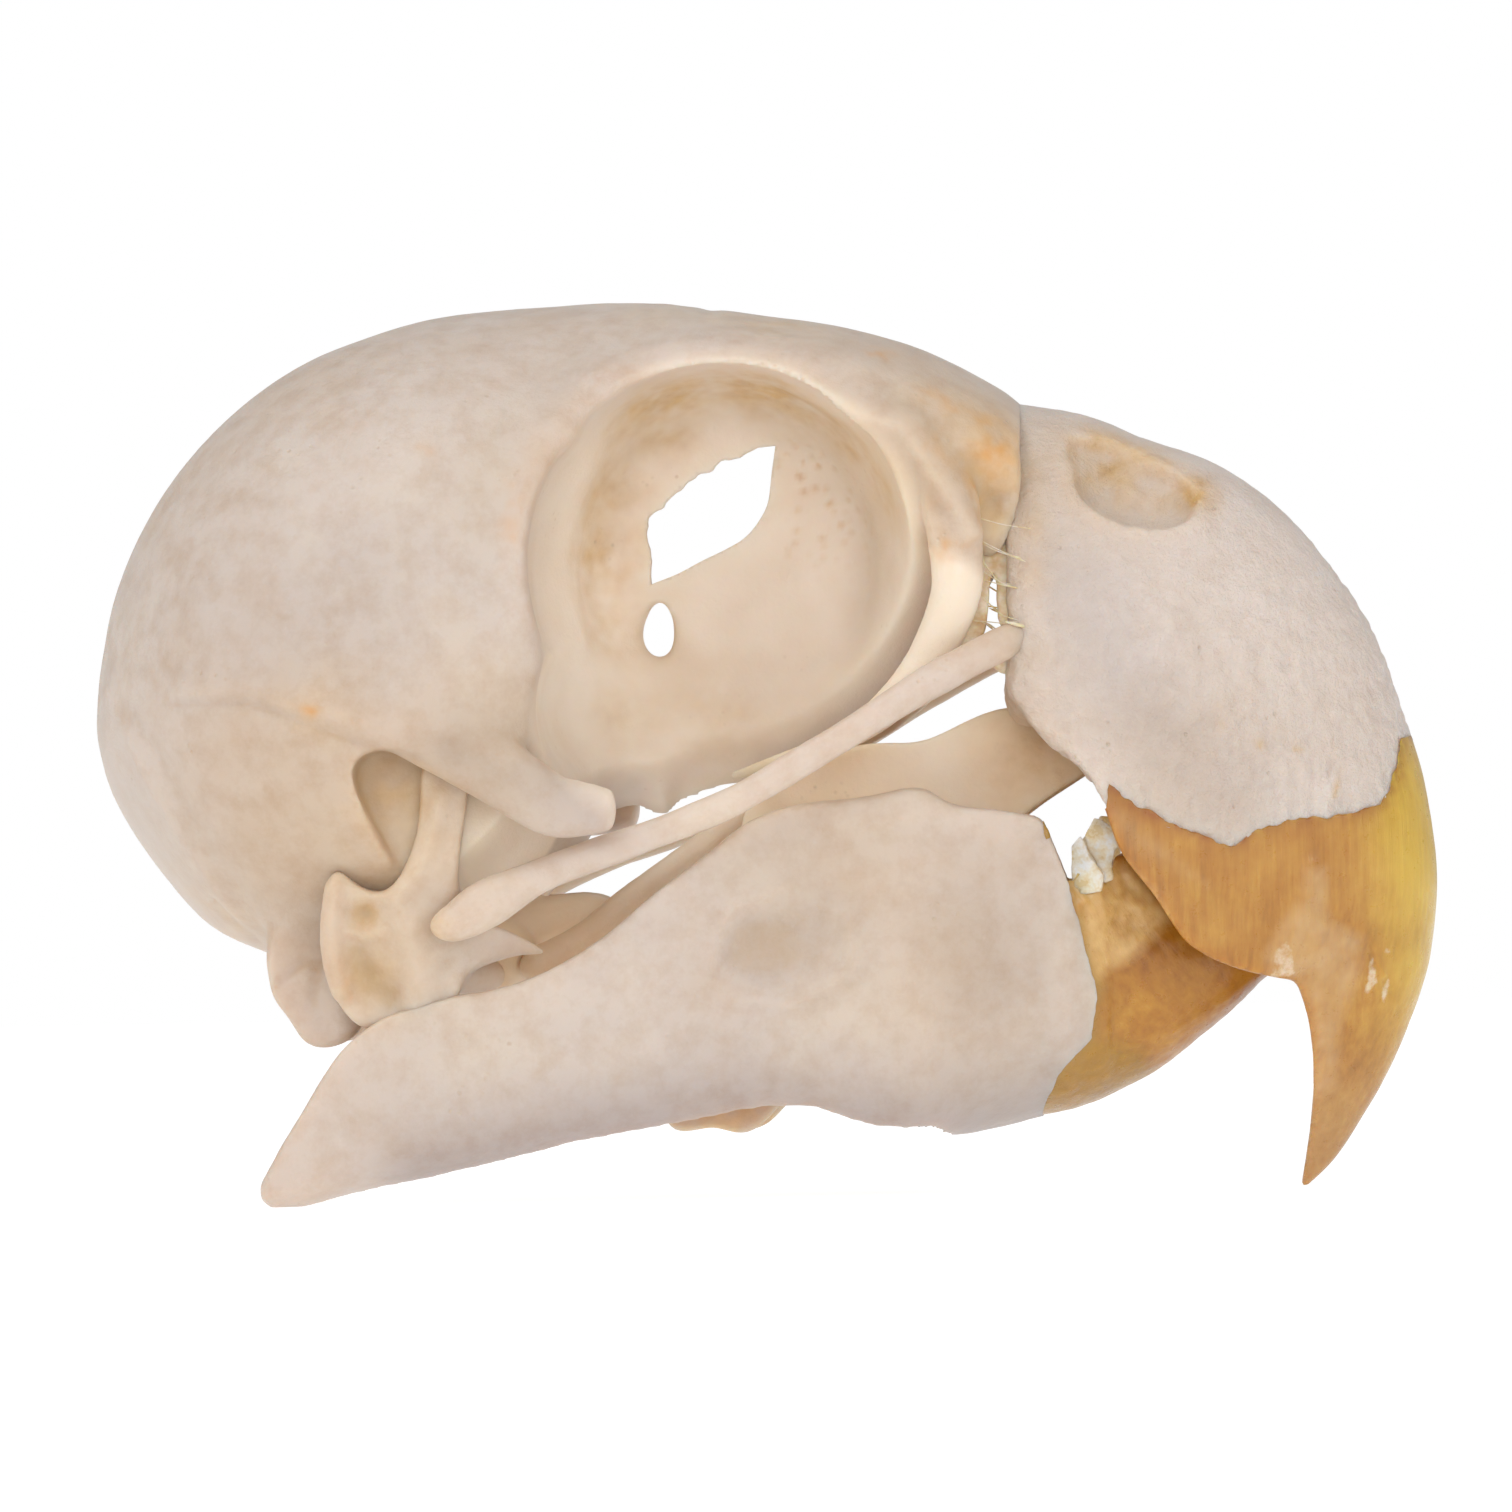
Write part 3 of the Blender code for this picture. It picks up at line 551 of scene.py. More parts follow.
def raggedLine(line, roughness, seed):
    # the line with small random teeth, drawn with eight points to the millimetre
    line = np.array(line, float)
    length = np.concatenate([[0], np.cumsum(np.linalg.norm(np.diff(line, axis=0), axis=1))])
    at = np.linspace(0, length[-1], int(length[-1] * 8))
    x, z = np.interp(at, length, line[:, 0]), np.interp(at, length, line[:, 1])
    spots = np.stack([at, np.full(len(at), seed), np.zeros(len(at))], 1)
    shift = roughness * (rough(spots, 0.9, seed) + 0.8 * rough(spots, 0.28, seed + 4))
    shift *= np.clip(np.minimum(at, length[-1] - at), 0, 1)
    run = np.gradient(np.stack([x, z], 1), axis=0)
    run /= np.linalg.norm(run, axis=1)[:, None]
    return np.stack([x - run[:, 1] * shift, z + run[:, 0] * shift], 1)


def shifted(line, amount):
    run = np.gradient(line, axis=0)
    run /= np.linalg.norm(run, axis=1)[:, None]
    return line + np.stack([-run[:, 1], run[:, 0]], 1) * amount


def makeCranium():
    rows = smoothRows(cranium["ribs"], cranium["stations"], roundStart=True)
    body = loft("craniumBone", [craniumRing(*row) for row in rows])
    spot, radius = cranium["condyle"]
    grown = [ball("condyle", spot, (radius,) * 3)]
    cuts = [ball(key, *cranium[key]) for key in ("neckHole", "opticHole")]
    for side in sides.values():
        for key, (line, radii, thin) in cranium["bars"].items():
            grown.append(rod(key, line, radii, side, flatten=thin, roundEnds=key != "cheekHorn"))
        half, middle = cranium["napePlateAcross"]
        grown.append(slab("napePlate", roundedOutline(cranium["napePlate"], 5), half, side * middle))
        cuts.append(ball("orbit", *cranium["orbit"], side=side, finish=72, keepOut=cranium["septumHalf"]))
        cuts += [ball(key, *cranium[key], side=side) for key in ("orbitRear", "seat")]
        reach, middle = cranium["earReach"], cranium["earFloor"] + cranium["earReach"]
        cuts.append(slab("ear", roundedOutline(cranium["earOutline"], 5), reach, side * middle))
    combine(body, cuts, "DIFFERENCE")
    combine(body, grown, "UNION")
    cutBy(body, cranium["leftNotch"], *cranium["leftNotchAcross"])
    remesh(body, cranium["voxel"], 3, cranium["soften"])
    carve(body, cranium["strokes"])
    grain(body, cranium["grain"])
    pits = sievePattern(readPoints(body), cranium["sieve"], cranium["sieveSize"])
    swell(body, -cranium["sieveDepth"] * pits)
    # the broken edge of the window is left sharp
    front = smoothRows(cranium["windowFront"], 40)
    rear = raggedLine(cranium["windowRear"], cranium["raggedness"], 5)
    return cutBy(body, np.vstack([front[1:], rear[1:]]), 2.0)


craniumPiece = makeCranium()
print("braincase", len(craniumPiece.data.polygons), "faces")


# upper bill: bone core, nostril and horn

upperBill = {
    "stations": 110,
    "around": 132,
    "voxel": 0.11,
    # ribs in the side view: culmen x and z, cutting edge x and z, half width, wall at the edge, palate's rise
    "ribs": (
        (8.05, 26.4, 8.0, 17.0, 6.2, 4.0, 0.08),
        (10.3, 26.05, 9.3, 15.3, 6.6, 2.2, 0.16),
        (12.4, 25.25, 10.45, 14.4, 6.8, 1.6, 0.2),
        (14.55, 24.5, 11.15, 13.45, 6.8, 1.5, 0.23),
        (16.5, 23.25, 11.75, 11.85, 6.6, 1.3, 0.25),
        (18.3, 21.35, 12.9, 10.3, 6.3, 1.2, 0.26),
        (19.75, 19.2, 14.05, 8.7, 5.9, 1.2, 0.27),
        (20.9, 16.2, 15.5, 7.95, 5.4, 1.2, 0.26),
        (21.7, 13.4, 16.75, 7.62, 4.8, 1.2, 0.24),
        (22.0, 10.75, 17.38, 7.5, 4.1, 1.2, 0.22),
        (21.8, 8.4, 17.92, 5.95, 3.3, 1.1, 0.2),
        (21.0, 5.8, 18.04, 4.3, 2.4, 0.9, 0.18),
        (19.8, 3.4, 17.95, 2.9, 1.4, 0.7, 0.1),
        (18.46, 1.42, 17.72, 1.42, 0.5, 0.4, 0.0),
        (17.76, 0.74, 17.6, 0.74, 0.15, 0.1, 0.0),
        (17.66, 0.6, 17.54, 0.6, 0.08, 0.05, 0.0),
    ),
    "fullness": 0.72,
    # eggs joined to the bone or taken out of it, on both sides: centre, radii, tilt
    "eggs": (
        ("UNION", (9.45, 3.4, 18.6), (1.35, 1.5, 2.35)),               # root of the cheek bar
        ("UNION", (8.75, 3.5, 16.95), (0.85, 1.3, 1.2)),               # the root's foot
        ("DIFFERENCE", (12.35, 4.5, 23.8), (2.2, 1.6, 1.65), 14.0),    # nostril
        ("DIFFERENCE", (11.5, 4.0, 24.75), (1.7, 1.25, 1.05), 14.0),   # the nostril's upper rear end
    ),
    # where the bone ends and the horn begins
    "hornLine": (
        (11.3, 13.1), (11.42, 13.85), (12.3, 13.15), (13.7, 12.55), (14.9, 12.0), (15.5, 11.95),
        (16.2, 12.45), (17.3, 12.7), (18.4, 12.8), (19.3, 12.95), (20.2, 13.3), (20.6, 13.9), (20.9, 15.4),
        (23.0, 15.9),
    ),
    "raggedness": 0.13,
    "hornStrokes": (
        stroke(((17.9, 11.2), (17.7, 9.8), (17.0, 8.6)), 0.35, 0.08, 0.5),
        stroke(((17.9, 10.0), (19.2, 9.1), (19.8, 8.2), (19.4, 6.6)), 0.22, -0.07, 0.5),
        stroke(((19.85, 8.6), (20.0, 7.9)), 0.1, -0.08, 0.3),
        stroke(((20.05, 8.2), (20.3, 7.6)), 0.1, 0.08, 0.3),
        stroke(((20.3, 7.5), (20.5, 7.0)), 0.1, -0.07, 0.3),
        stroke(((12.0, 12.6), (13.6, 11.2), (15.4, 9.7)), 0.5, -0.06, 0.5),
        stroke(((18.6, 7.4), (18.9, 5.6), (18.7, 3.6)), 0.4, -0.05, 0.2),
    ),
    "overlap": 0.16,           # how far the horn laps over the bone
    "hornRise": 0.035,         # how proud it stands there
    "hornGrain": ((2.4, 0.03, 12), (0.7, 0.012, 13)),
    "soften": (
        ((12.2, 5.2, 23.9), 3.4, 14), ((11.6, 4.6, 24.6), 2.2, 40), ((8.6, 4.6, 18.0), 2.4, 25),
        (((8.5, 4.0, 26.0), (8.4, 6.1, 24.2), (8.3, 6.3, 20.0), (8.3, 6.3, 16.8), (9.4, 6.6, 15.3),
          (10.5, 6.8, 14.4)), 1.0, 30),
    ),
    "boneStrokes": (
        stroke(((10.0, 24.6), (10.9, 23.0), (12.6, 22.2), (14.3, 22.6)), 0.5, 0.12, 4),
        stroke(((8.7, 25.2), (8.9, 21.0), (9.4, 17.0)), 0.5, 0.12, 4),
        stroke(((12.0, 23.2), (12.6, 23.0)), 0.7, 0.4, 2.5, 6.4),
    ),
    "boneGrain": ((4.0, 0.06, 5), (0.62, 0.065, 6), (0.34, 0.05, 7)),
    "smoothAbove": 23.0,       # the bone is smoother above this height
    "streakHeight": 14.0,      # upright pores lie round this height
    "streakDepth": 0.09,
    "cutHalf": 14,             # the shapes that part bone and horn reach so far to each side
}


def billRing(culmenX, culmenZ, edgeX, edgeZ, half, wall, rise):
    # one rib: over the culmen from edge to edge, then back along the arched palate
    around = upperBill["around"]
    outside = np.linspace(-math.pi / 2, math.pi / 2, around * 2 // 3)
    yOutside = half * np.sign(outside) * np.abs(np.sin(outside)) ** upperBill["fullness"]
    reach = 1 - np.cos(outside)
    yInside = np.linspace(1, -1, around // 3) * max(half - wall, 0.35 * half)
    lift = 1 - rise * (1 - (yInside / yInside[0]) ** 2)
    y = np.concatenate([yOutside, yInside])
    along = np.concatenate([reach, lift])
    return np.stack([culmenX + (edgeX - culmenX) * along, y, culmenZ + (edgeZ - culmenZ) * along], 1)


def makeUpperBill():
    look = upperBill
    rings = [billRing(*row) for row in smoothRows(look["ribs"], look["stations"])]
    line = raggedLine(look["hornLine"], look["raggedness"], 2)
    # corners that close the shapes under and over the line between bone and horn
    below = [(26.0, -5.0), (5.0, -5.0), (5.0, 14.1)]
    above = [(26.0, 30.0), (5.0, 30.0), (5.0, 14.1)]
    bone = loft("billBone", rings)
    shape(bone, look["eggs"])
    remesh(bone, look["voxel"], 3, look["soften"])
    carve(bone, look["boneStrokes"])
    grain(bone, look["boneGrain"], lambda p: 0.25 + 0.75 * np.clip((look["smoothAbove"] - p[:, 2]) / 4, 0, 1))
    streaks(bone)
    cutBy(bone, [*shifted(line, -look["overlap"]), *below], look["cutHalf"])

    sheath = loft("upperHorn", rings)
    remesh(sheath, look["voxel"], 2)
    swell(sheath, look["hornRise"])
    carve(sheath, look["hornStrokes"])
    grain(sheath, look["hornGrain"])
    cutBy(sheath, [*line, *above], look["cutHalf"])
    return bone, sheath


def streaks(obj):
    # upright pores in the bone just above the horn
    points = readPoints(obj)
    near = fading(points[:, 2] - upperBill["streakHeight"], 2.4)
    near *= np.clip((np.abs(points[:, 1]) - 2) / 2, 0, 1)
    cut = np.clip(rough(points * (1.0, 1.0, 0.22), 0.28, 11), 0, 1)
    swell(obj, -upperBill["streakDepth"] * near * cut)


billBone, upperHorn = makeUpperBill()
print("upper bill", len(billBone.data.polygons), len(upperHorn.data.polygons), "faces")


# lower jaw and its horn

jaw = {
    "stations": 150,
    "around": 96,
    "voxel": 0.11,
    # heel to tip: x, upper edge, lower edge, half width, squareness of the section, wall, floor of the scoop
    "ribs": (
        (-16.25, 0.85, 0.35, 8.2, 10.0, 1.2, -1.5),
        (-15.7, 1.85, 0.0, 8.4, 10.0, 1.3, -1.5),
        (-14.9, 3.2, 0.1, 8.6, 10.0, 1.3, -1.5),
        (-13.5, 5.3, 0.45, 8.7, 10.0, 1.3, -1.5),
        (-12.2, 6.3, 0.72, 8.75, 10.0, 1.3, -1.5),
        (-10.5, 6.85, 1.02, 8.75, 10.0, 1.3, -1.5),
        (-8.0, 7.35, 1.6, 8.7, 10.0, 1.2, -1.5),
        (-5.5, 8.6, 2.17, 8.5, 10.0, 1.2, -1.5),
        (-3.2, 10.5, 2.57, 8.3, 10.0, 1.2, -1.5),
        (-1.5, 11.8, 2.88, 8.0, 10.0, 1.2, -1.5),
        (-0.2, 12.8, 3.1, 7.85, 10.0, 1.2, -1.5),
        (1.3, 13.3, 3.2, 7.65, 10.0, 1.2, -1.5),
        (3.6, 13.5, 2.6, 7.35, 10.0, 1.2, -1.5),
        (5.2, 13.85, 2.4, 7.25, 8.5, 1.2, -0.8),
        (6.3, 13.25, 2.42, 7.1, 5.0, 1.2, 3.0),
        (8.0, 13.05, 2.72, 6.8, 3.3, 1.3, 4.3),
        (9.1, 12.8, 3.0, 6.42, 3.0, 1.3, 4.5),
        (9.7, 11.6, 3.1, 6.16, 2.92, 1.25, 4.6),
        (10.1, 10.8, 3.2, 5.97, 2.85, 1.2, 4.7),
        (10.45, 11.1, 3.32, 5.79, 2.78, 1.2, 4.8),
        (10.95, 10.9, 3.5, 5.5, 2.7, 1.15, 5.0),
        (11.25, 10.75, 3.63, 5.3, 2.65, 1.15, 5.15),
        (11.6, 11.65, 3.8, 5.07, 2.6, 1.1, 5.3),
        (12.0, 11.6, 4.0, 4.83, 2.58, 1.1, 5.5),
        (12.6, 10.75, 4.3, 4.47, 2.5, 1.0, 5.85),
        (13.2, 10.05, 4.7, 4.1, 2.48, 1.0, 6.2),
        (14.2, 9.2, 5.5, 3.45, 2.4, 1.0, 7.0),
        (15.5, 8.4, 6.6, 2.6, 2.3, 0.9, 7.9),
        (16.4, 8.1, 7.5, 1.8, 2.2, 0.8, 8.1),
        (16.8, 8.1, 7.8, 1.1, 2.2, 0.7, 8.2),
    ),
    "hornLine": (
        (8.9, 1.5), (9.1, 3.2), (9.7, 4.45), (10.8, 5.6), (11.0, 7.2), (10.5, 8.9), (10.12, 10.6),
        (9.45, 12.3), (9.1, 15.0),
    ),
    "raggedness": 0.06,
    "overlap": 0.2,            # how far the horn runs in under the bone's edge
    "hornSink": 0.05,
    "eggs": (
        ("UNION", (-11.3, 6.4, 4.4), (2.2, 1.6, 1.1)),                 # shelf inside the joint
        ("DIFFERENCE", (0.67, 9.3, 8.55), (2.9, 2.0, 2.0), 8.0),       # dish of the jaw muscle
    ),
    "soften": (
        ((0.7, 8.0, 8.5), 3.0, 10), ((5.5, 7.0, 13.6), 1.6, 15),
        # upper edge
        (((-16.2, 7.7, 0.8), (-14.9, 7.9, 3.2), (-13.5, 8.0, 5.3), (-10.5, 8.1, 6.85), (-5.5, 7.9, 8.6),
          (-1.5, 7.4, 11.8), (1.3, 7.1, 13.3), (5.2, 6.7, 13.85), (8.6, 6.0, 12.9)), 1.1, 14),
        # lower edge
        (((-12.0, 8.4, 0.75), (-8.0, 8.4, 1.6), (-5.5, 8.2, 2.17), (-3.2, 8.0, 2.57), (-0.2, 7.6, 3.1),
          (3.6, 7.0, 2.6), (6.3, 6.3, 2.5)), 1.5, 16),
    ),
    "boneGrain": ((4.0, 0.05, 8), (1.2, 0.02, 9), (0.4, 0.012, 10)),
    "hornGrain": ((1.6, 0.06, 14), (0.7, 0.12, 15), (0.32, 0.07, 16)),
    "crumpledAbove": 8.3,      # the horn is crumpled above this height
    "scoopTop": 25.0,          # the scoop's cutting shape reaches up to here
    "cutHalf": 14,
    # the left side is chipped at its upper front corner
    "leftChipAcross": (4, 6),  # half the thickness of the cut and its middle
    "leftChip": ((8.2, 15.0), (8.55, 12.3), (9.3, 10.5), (9.9, 9.2), (10.35, 9.2), (10.45, 15.0)),
    "strokes": (
        stroke(((-9.0, 6.1), (-4.5, 7.3), (-1.2, 9.0), (0.2, 10.6)), 0.9, 0.12, 6),
        stroke(((-13.5, 3.0), (-8.0, 3.8), (-3.0, 5.2), (1.5, 5.6), (4.5, 5.2)), 1.1, -0.12, 6),
        stroke(((-1.6, 7.6), (-0.9, 9.9), (1.0, 10.5), (2.9, 9.6), (3.1, 7.9), (1.2, 6.7), (-0.8, 6.9),
                (-1.6, 7.6)), 0.3, 0.08, 6),
        stroke(((2.6, 12.6), (5.6, 12.8), (8.6, 12.0)), 0.5, 0.1, 5),
        stroke(((-5.6, 4.6), (-3.4, 5.2)), 0.8, 0.16, 6),
        stroke(((4.0, 8.6), (5.6, 6.6), (5.2, 4.4)), 0.9, 0.1, 5),
    ),
}


def troughRing(x, top, bottom, half, squareness):
    angle = np.linspace(0, math.pi, jaw["around"])
    across, down = np.cos(angle), np.sin(angle)
    power = 2 / squareness
    y = half * np.sign(across) * np.abs(across) ** power
    return np.stack([np.full(len(y), x), y, top - (top - bottom) * down ** power], 1)


def makeLowerBill():
    rows = smoothRows(jaw["ribs"], jaw["stations"])
    outer = [troughRing(*row[:5]) for row in rows]
    inner = [
        troughRing(x, jaw["scoopTop"], floor, max(half - wall, 0.2), square)
        for x, _, _, half, square, wall, floor in rows
    ]
    inner[0][:, 0] -= 1.0  # the hollow runs out past the heels
    line = raggedLine(jaw["hornLine"], jaw["raggedness"], 3)
    # corners that close the shapes in front of and behind the line between bone and horn
    ahead = [(30.0, 15.0), (30.0, -3.0), (8.9, -3.0)]
    behind = [(-20.0, 15.0), (-20.0, -3.0), (8.9, -3.0)]
    bone, sheath = [
        combine(loft(name, outer), [loft("scoop", inner)], "DIFFERENCE") for name in ("jawBone", "lowerHorn")
    ]
    shape(bone, jaw["eggs"])
    remesh(bone, jaw["voxel"], 3, jaw["soften"])
    carve(bone, jaw["strokes"])
    grain(bone, jaw["boneGrain"])
    cutBy(bone, [*line, *ahead], jaw["cutHalf"])
    remesh(sheath, jaw["voxel"], 2)
    swell(sheath, -jaw["hornSink"])
    grain(sheath, jaw["hornGrain"],
          lambda p: 0.15 + 0.85 * np.clip((p[:, 2] - jaw["crumpledAbove"]) / 2, 0, 1))
    cutBy(sheath, [*shifted(line, jaw["overlap"]), *behind], jaw["cutHalf"])
    for part in (bone, sheath):
        cutBy(part, jaw["leftChip"], *jaw["leftChipAcross"])
    return bone, sheath


jawBone, lowerHorn = makeLowerBill()
print("lower jaw", len(jawBone.data.polygons), len(lowerHorn.data.polygons), "faces")


# loose bones of each side

looseBones = {
    "voxel": 0.08,
    "rodGrain": ((1.8, 0.05, 24), (0.5, 0.012, 25)),
    # line, radii, then how far the bone is flattened across the head
    "cheekBar": (
        ((-10.6, 9.6, 9.2), (-9.9, 9.5, 9.38), (-8.8, 9.25, 10.0), (-7.2, 8.95, 10.85), (-5.6, 8.6, 11.5),
         (-1.4, 8.6, 13.05), (3.0, 8.2, 15.6), (6.4, 7.1, 17.7), (9.2, 5.4, 19.1)),
        (0.42, 0.64, 0.8, 0.6, 0.54, 0.5, 0.5, 0.56, 0.55), 0.75,
    ),
    "pterygoid": (
        ((-7.9, 4.5, 7.75), (-7.2, 4.3, 8.05), (-5.8, 3.9, 8.9), (-3.6, 3.2, 10.75), (-1.6, 2.4, 12.2),
         (-0.4, 2.05, 12.8)),
        (0.55, 0.62, 0.48, 0.42, 0.38, 0.4), 0.85,
    ),
    "quadrate": {
        "outline": (
            (-14.0, 10.9), (-13.6, 11.25), (-13.2, 10.7), (-12.6, 10.35), (-12.0, 10.4), (-11.6, 10.9),
            (-11.2, 11.7), (-11.0, 12.6), (-10.9, 13.6), (-10.9, 15.2), (-9.3, 15.2), (-9.4, 13.4),
            (-9.6, 12.2), (-9.75, 11.2), (-9.75, 10.3), (-9.3, 9.5), (-8.7, 9.3), (-8.0, 9.08), (-7.3, 8.7),
            (-6.7, 8.3), (-7.7, 8.38), (-8.5, 8.2), (-9.2, 7.9), (-9.65, 7.5), (-9.75, 6.6), (-10.6, 6.45),
            (-11.5, 6.3), (-12.4, 5.9), (-13.0, 6.0), (-13.5, 6.5), (-14.0, 7.3), (-14.2, 8.4), (-14.2, 9.8),
        ),
        # x, z, then the middle and half the thickness across the head
        "across": (
            (-13.7, 10.9, 8.75, 0.35), (-13.8, 8.8, 8.35, 0.7), (-12.6, 9.6, 8.25, 0.95),
            (-11.2, 10.8, 8.6, 0.75), (-10.6, 12.5, 8.75, 0.55), (-10.1, 14.5, 8.6, 0.8),
            (-10.4, 9.4, 8.2, 0.85), (-11.0, 7.6, 7.9, 1.0), (-13.2, 7.0, 7.6, 0.85), (-12.4, 6.2, 7.3, 0.9),
            (-11.0, 6.6, 7.4, 0.95), (-9.2, 8.8, 7.4, 0.6), (-8.0, 8.7, 6.9, 0.35), (-6.9, 8.4, 6.5, 0.2),
        ),
        "softenFirst": (((-11.6, 8.0, 10.4), 7.0, 14),),
        "softenLast": (((-11.6, 8.0, 9.4), 4.0, 3),),
        "grain": ((1.4, 0.05, 22), (0.4, 0.012, 23)),
        "throat": (((-11.2, 6.9, 8.0), (-9.9, 6.1, 7.8), (-8.4, 5.3, 7.6)), (0.9, 0.8, 0.5)),
        "strokes": (
            stroke(((-13.75, 10.5), (-13.85, 8.8), (-13.6, 7.2)), 0.3, 0.22, 7.5),
            stroke(((-12.95, 8.3), (-12.6, 7.3), (-12.0, 6.9)), 0.5, -0.3, 7),
            stroke(((-12.77, 9.7), (-12.74, 9.65)), 0.42, -0.45, 7.5),
            stroke(((-13.1, 9.15), (-12.7, 8.95), (-12.3, 9.1)), 0.2, 0.14, 7.5),
            stroke(((-11.3, 9.4), (-11.1, 8.0), (-11.2, 6.8)), 0.55, 0.22, 7),
            stroke(((-11.7, 10.2), (-10.9, 11.2), (-10.3, 13.4)), 0.35, 0.16, 7.5),
            stroke(((-10.0, 8.0), (-10.1, 7.0)), 0.4, -0.15, 7),
        ),
    },
    "palatine": (
        (11.1, 14.95), (9.8, 16.3), (7.9, 16.55), (6.4, 15.85), (5.2, 15.15), (3.8, 15.3), (2.0, 15.0),
        (-0.3, 13.7), (-0.75, 12.7), (-0.7, 11.4), (-2.4, 8.2), (-3.6, 5.2), (-3.2, 1.9), (-1.5, 2.9),
        (-0.3, 1.8), (1.9, 5.2), (4.6, 8.4), (6.6, 10.9), (8.7, 13.15), (10.9, 14.35),
    ),
    "palatineHalf": 0.35,
    "palatineTopY": 2.5,       # distance from the middle at its upper edge
    "palatineLean": 8.0,       # degrees
    "palatineSwell": (0.25, 9.0, 3.0),     # how far it bulges out, at which height and over what height
    "palatineThick": (15.2, 1.2),          # height of its thickest part, and over what height
    "palatineVoxel": 0.1,
    "palatineGrain": ((2.0, 0.03, 20), (0.5, 0.01, 21)),
}


def makePalatine(word, side):
    # a thin upright blade that leans outward toward its lower edge
    outline = roundedOutline(looseBones["palatine"], 6)
    blade = slab(f"palatineBone_{word}", outline, looseBones["palatineHalf"])
    remesh(blade, looseBones["palatineVoxel"], 3)
    points = readPoints(blade)
    top = outline[:, 1].max()
    lean = math.radians(looseBones["palatineLean"])
    down = top - points[:, 2]
    height, middle, reach = looseBones["palatineSwell"]
    out = looseBones["palatineTopY"] + down * math.sin(lean) + height * fading(points[:, 2] - middle, reach)
    middle, reach = looseBones["palatineThick"]
    points[:, 1] = side * (points[:, 1] * (0.75 + 0.5 * fading(points[:, 2] - middle, reach)) + out)
    points[:, 2] = top - down * math.cos(lean)
    writePoints(blade, points)
    if side < 0:
        blade.data.flip_normals()
    grain(blade, looseBones["palatineGrain"])
    return blade


def makeQuadrate(word, side):
    # an upright plate cut to its side view, then made thick or thin and set in or out from place to place
    look = looseBones["quadrate"]
    bone = slab(f"quadrateBone_{word}", roundedOutline(look["outline"], 4), 1.0)
    remesh(bone, looseBones["voxel"], 3)
    points = readPoints(bone)
    across = np.array(look["across"])
    gap = np.linalg.norm(points[:, None, [0, 2]] - across[None, :, :2], axis=2)
    weight = fading(gap, 1.0) + 1e-9
    middle, half = (weight @ across[:, 2:] / weight.sum(1)[:, None]).T
    points[:, 1] = side * (middle + half * points[:, 1])
    writePoints(bone, points)
    if side < 0:
        bone.data.flip_normals()
    combine(bone, [rod("throat", *look["throat"], side)], "UNION")
    remesh(bone, looseBones["voxel"], 2, look["softenFirst"])
    carve(bone, look["strokes"])
    relax(bone, 1, look["softenLast"])
    grain(bone, look["grain"])
    return bone


def makeRodBone(name, key, side):
    line, radii, thin = looseBones[key]
    bone = rod(name, line, radii, side, around=28, steps=120, flatten=thin)
    remesh(bone, looseBones["voxel"], 2)
    grain(bone, looseBones["rodGrain"])
    return bone


loose = {}
for word, side in sides.items():
    loose[f"jugal_bar_{word}"] = makeRodBone(f"cheekBar_{word}", "cheekBar", side)
    loose[f"pterygoid_{word}"] = makeRodBone(f"pterygoidBone_{word}", "pterygoid", side)
    loose[f"quadrate_{word}"] = makeQuadrate(word, side)
    loose[f"palatine_{word}"] = makePalatine(word, side)
print("loose bones", sum(len(obj.data.polygons) for obj in loose.values()), "faces")


# dried tissue left at the hinge of the bill, and horn scales on the lower bill

remains = {
    "voxel": 0.06,
    # skin between brow and bill, drawn in the side view: right, then the piece that is left of it on the left
    "skin": {
        "right": ((6.4, 23.6), (8.7, 23.6), (8.9, 21.0), (8.9, 18.7), (8.4, 18.6), (7.95, 18.85),
                  (7.78, 19.35), (7.76, 19.9), (7.76, 20.4), (7.64, 20.8), (7.5, 20.75), (7.42, 20.3),
                  (7.4, 19.6), (7.3, 18.9), (7.0, 18.3), (6.2, 17.9)),
        "left": ((6.6, 23.6), (9.0, 23.6), (9.0, 20.6), (8.4, 21.5), (7.4, 21.9), (6.7, 21.9)),
    },
    "skinFoot": (5.7, 19.0),   # distance from the middle and height of its lower edge
    "skinLean": 0.22,          # how far it leans in over each millimetre of height
    "skinHalf": 0.13,          # half its thickness
    "skinGrain": ((1.6, 0.1, 41), (0.5, 0.02, 42)),
    "strands": 9,
    # each sinew is drawn at random between these: height, x and distance from the middle at the brow,
    # the same two at the bill, how far it falls, how far it sags, radius
    "strand": ((19.2, 22.6), (6.8, 7.2), (5.7, 6.25), (8.4, 8.9), (5.8, 6.3), (0.2, 1.2), (-0.3, 0.1),
               (0.014, 0.024)),
    # what is left under the cheek bar's end: line, radii
    "underBar": (((7.6, 6.0, 18.1), (8.0, 5.6, 17.9), (8.6, 5.1, 17.8)), (0.25, 0.4, 0.4)),
    "darkEnd": (((8.0, 6.2, 19.2), (8.4, 6.3, 19.1), (8.75, 6.2, 19.0)), (0.03, 0.06, 0.04)),
    # clear scales on the torn edge of the lower horn: outline in the side view, distance from the middle
    "scales": (
        (((10.86, 12.83), (10.6, 12.2), (10.66, 11.8), (10.98, 11.35), (11.2, 10.7), (11.5, 10.8),
          (11.55, 11.8), (11.72, 11.95), (11.66, 12.2), (11.39, 12.62), (11.16, 12.8)), 5.3),
        (((10.12, 11.9), (10.43, 12.2), (10.62, 11.9), (10.75, 11.5), (11.2, 10.95), (11.1, 10.4),
          (10.3, 10.3), (10.14, 11.2)), 5.6),
    ),
    "scaleHalf": 0.1,
}


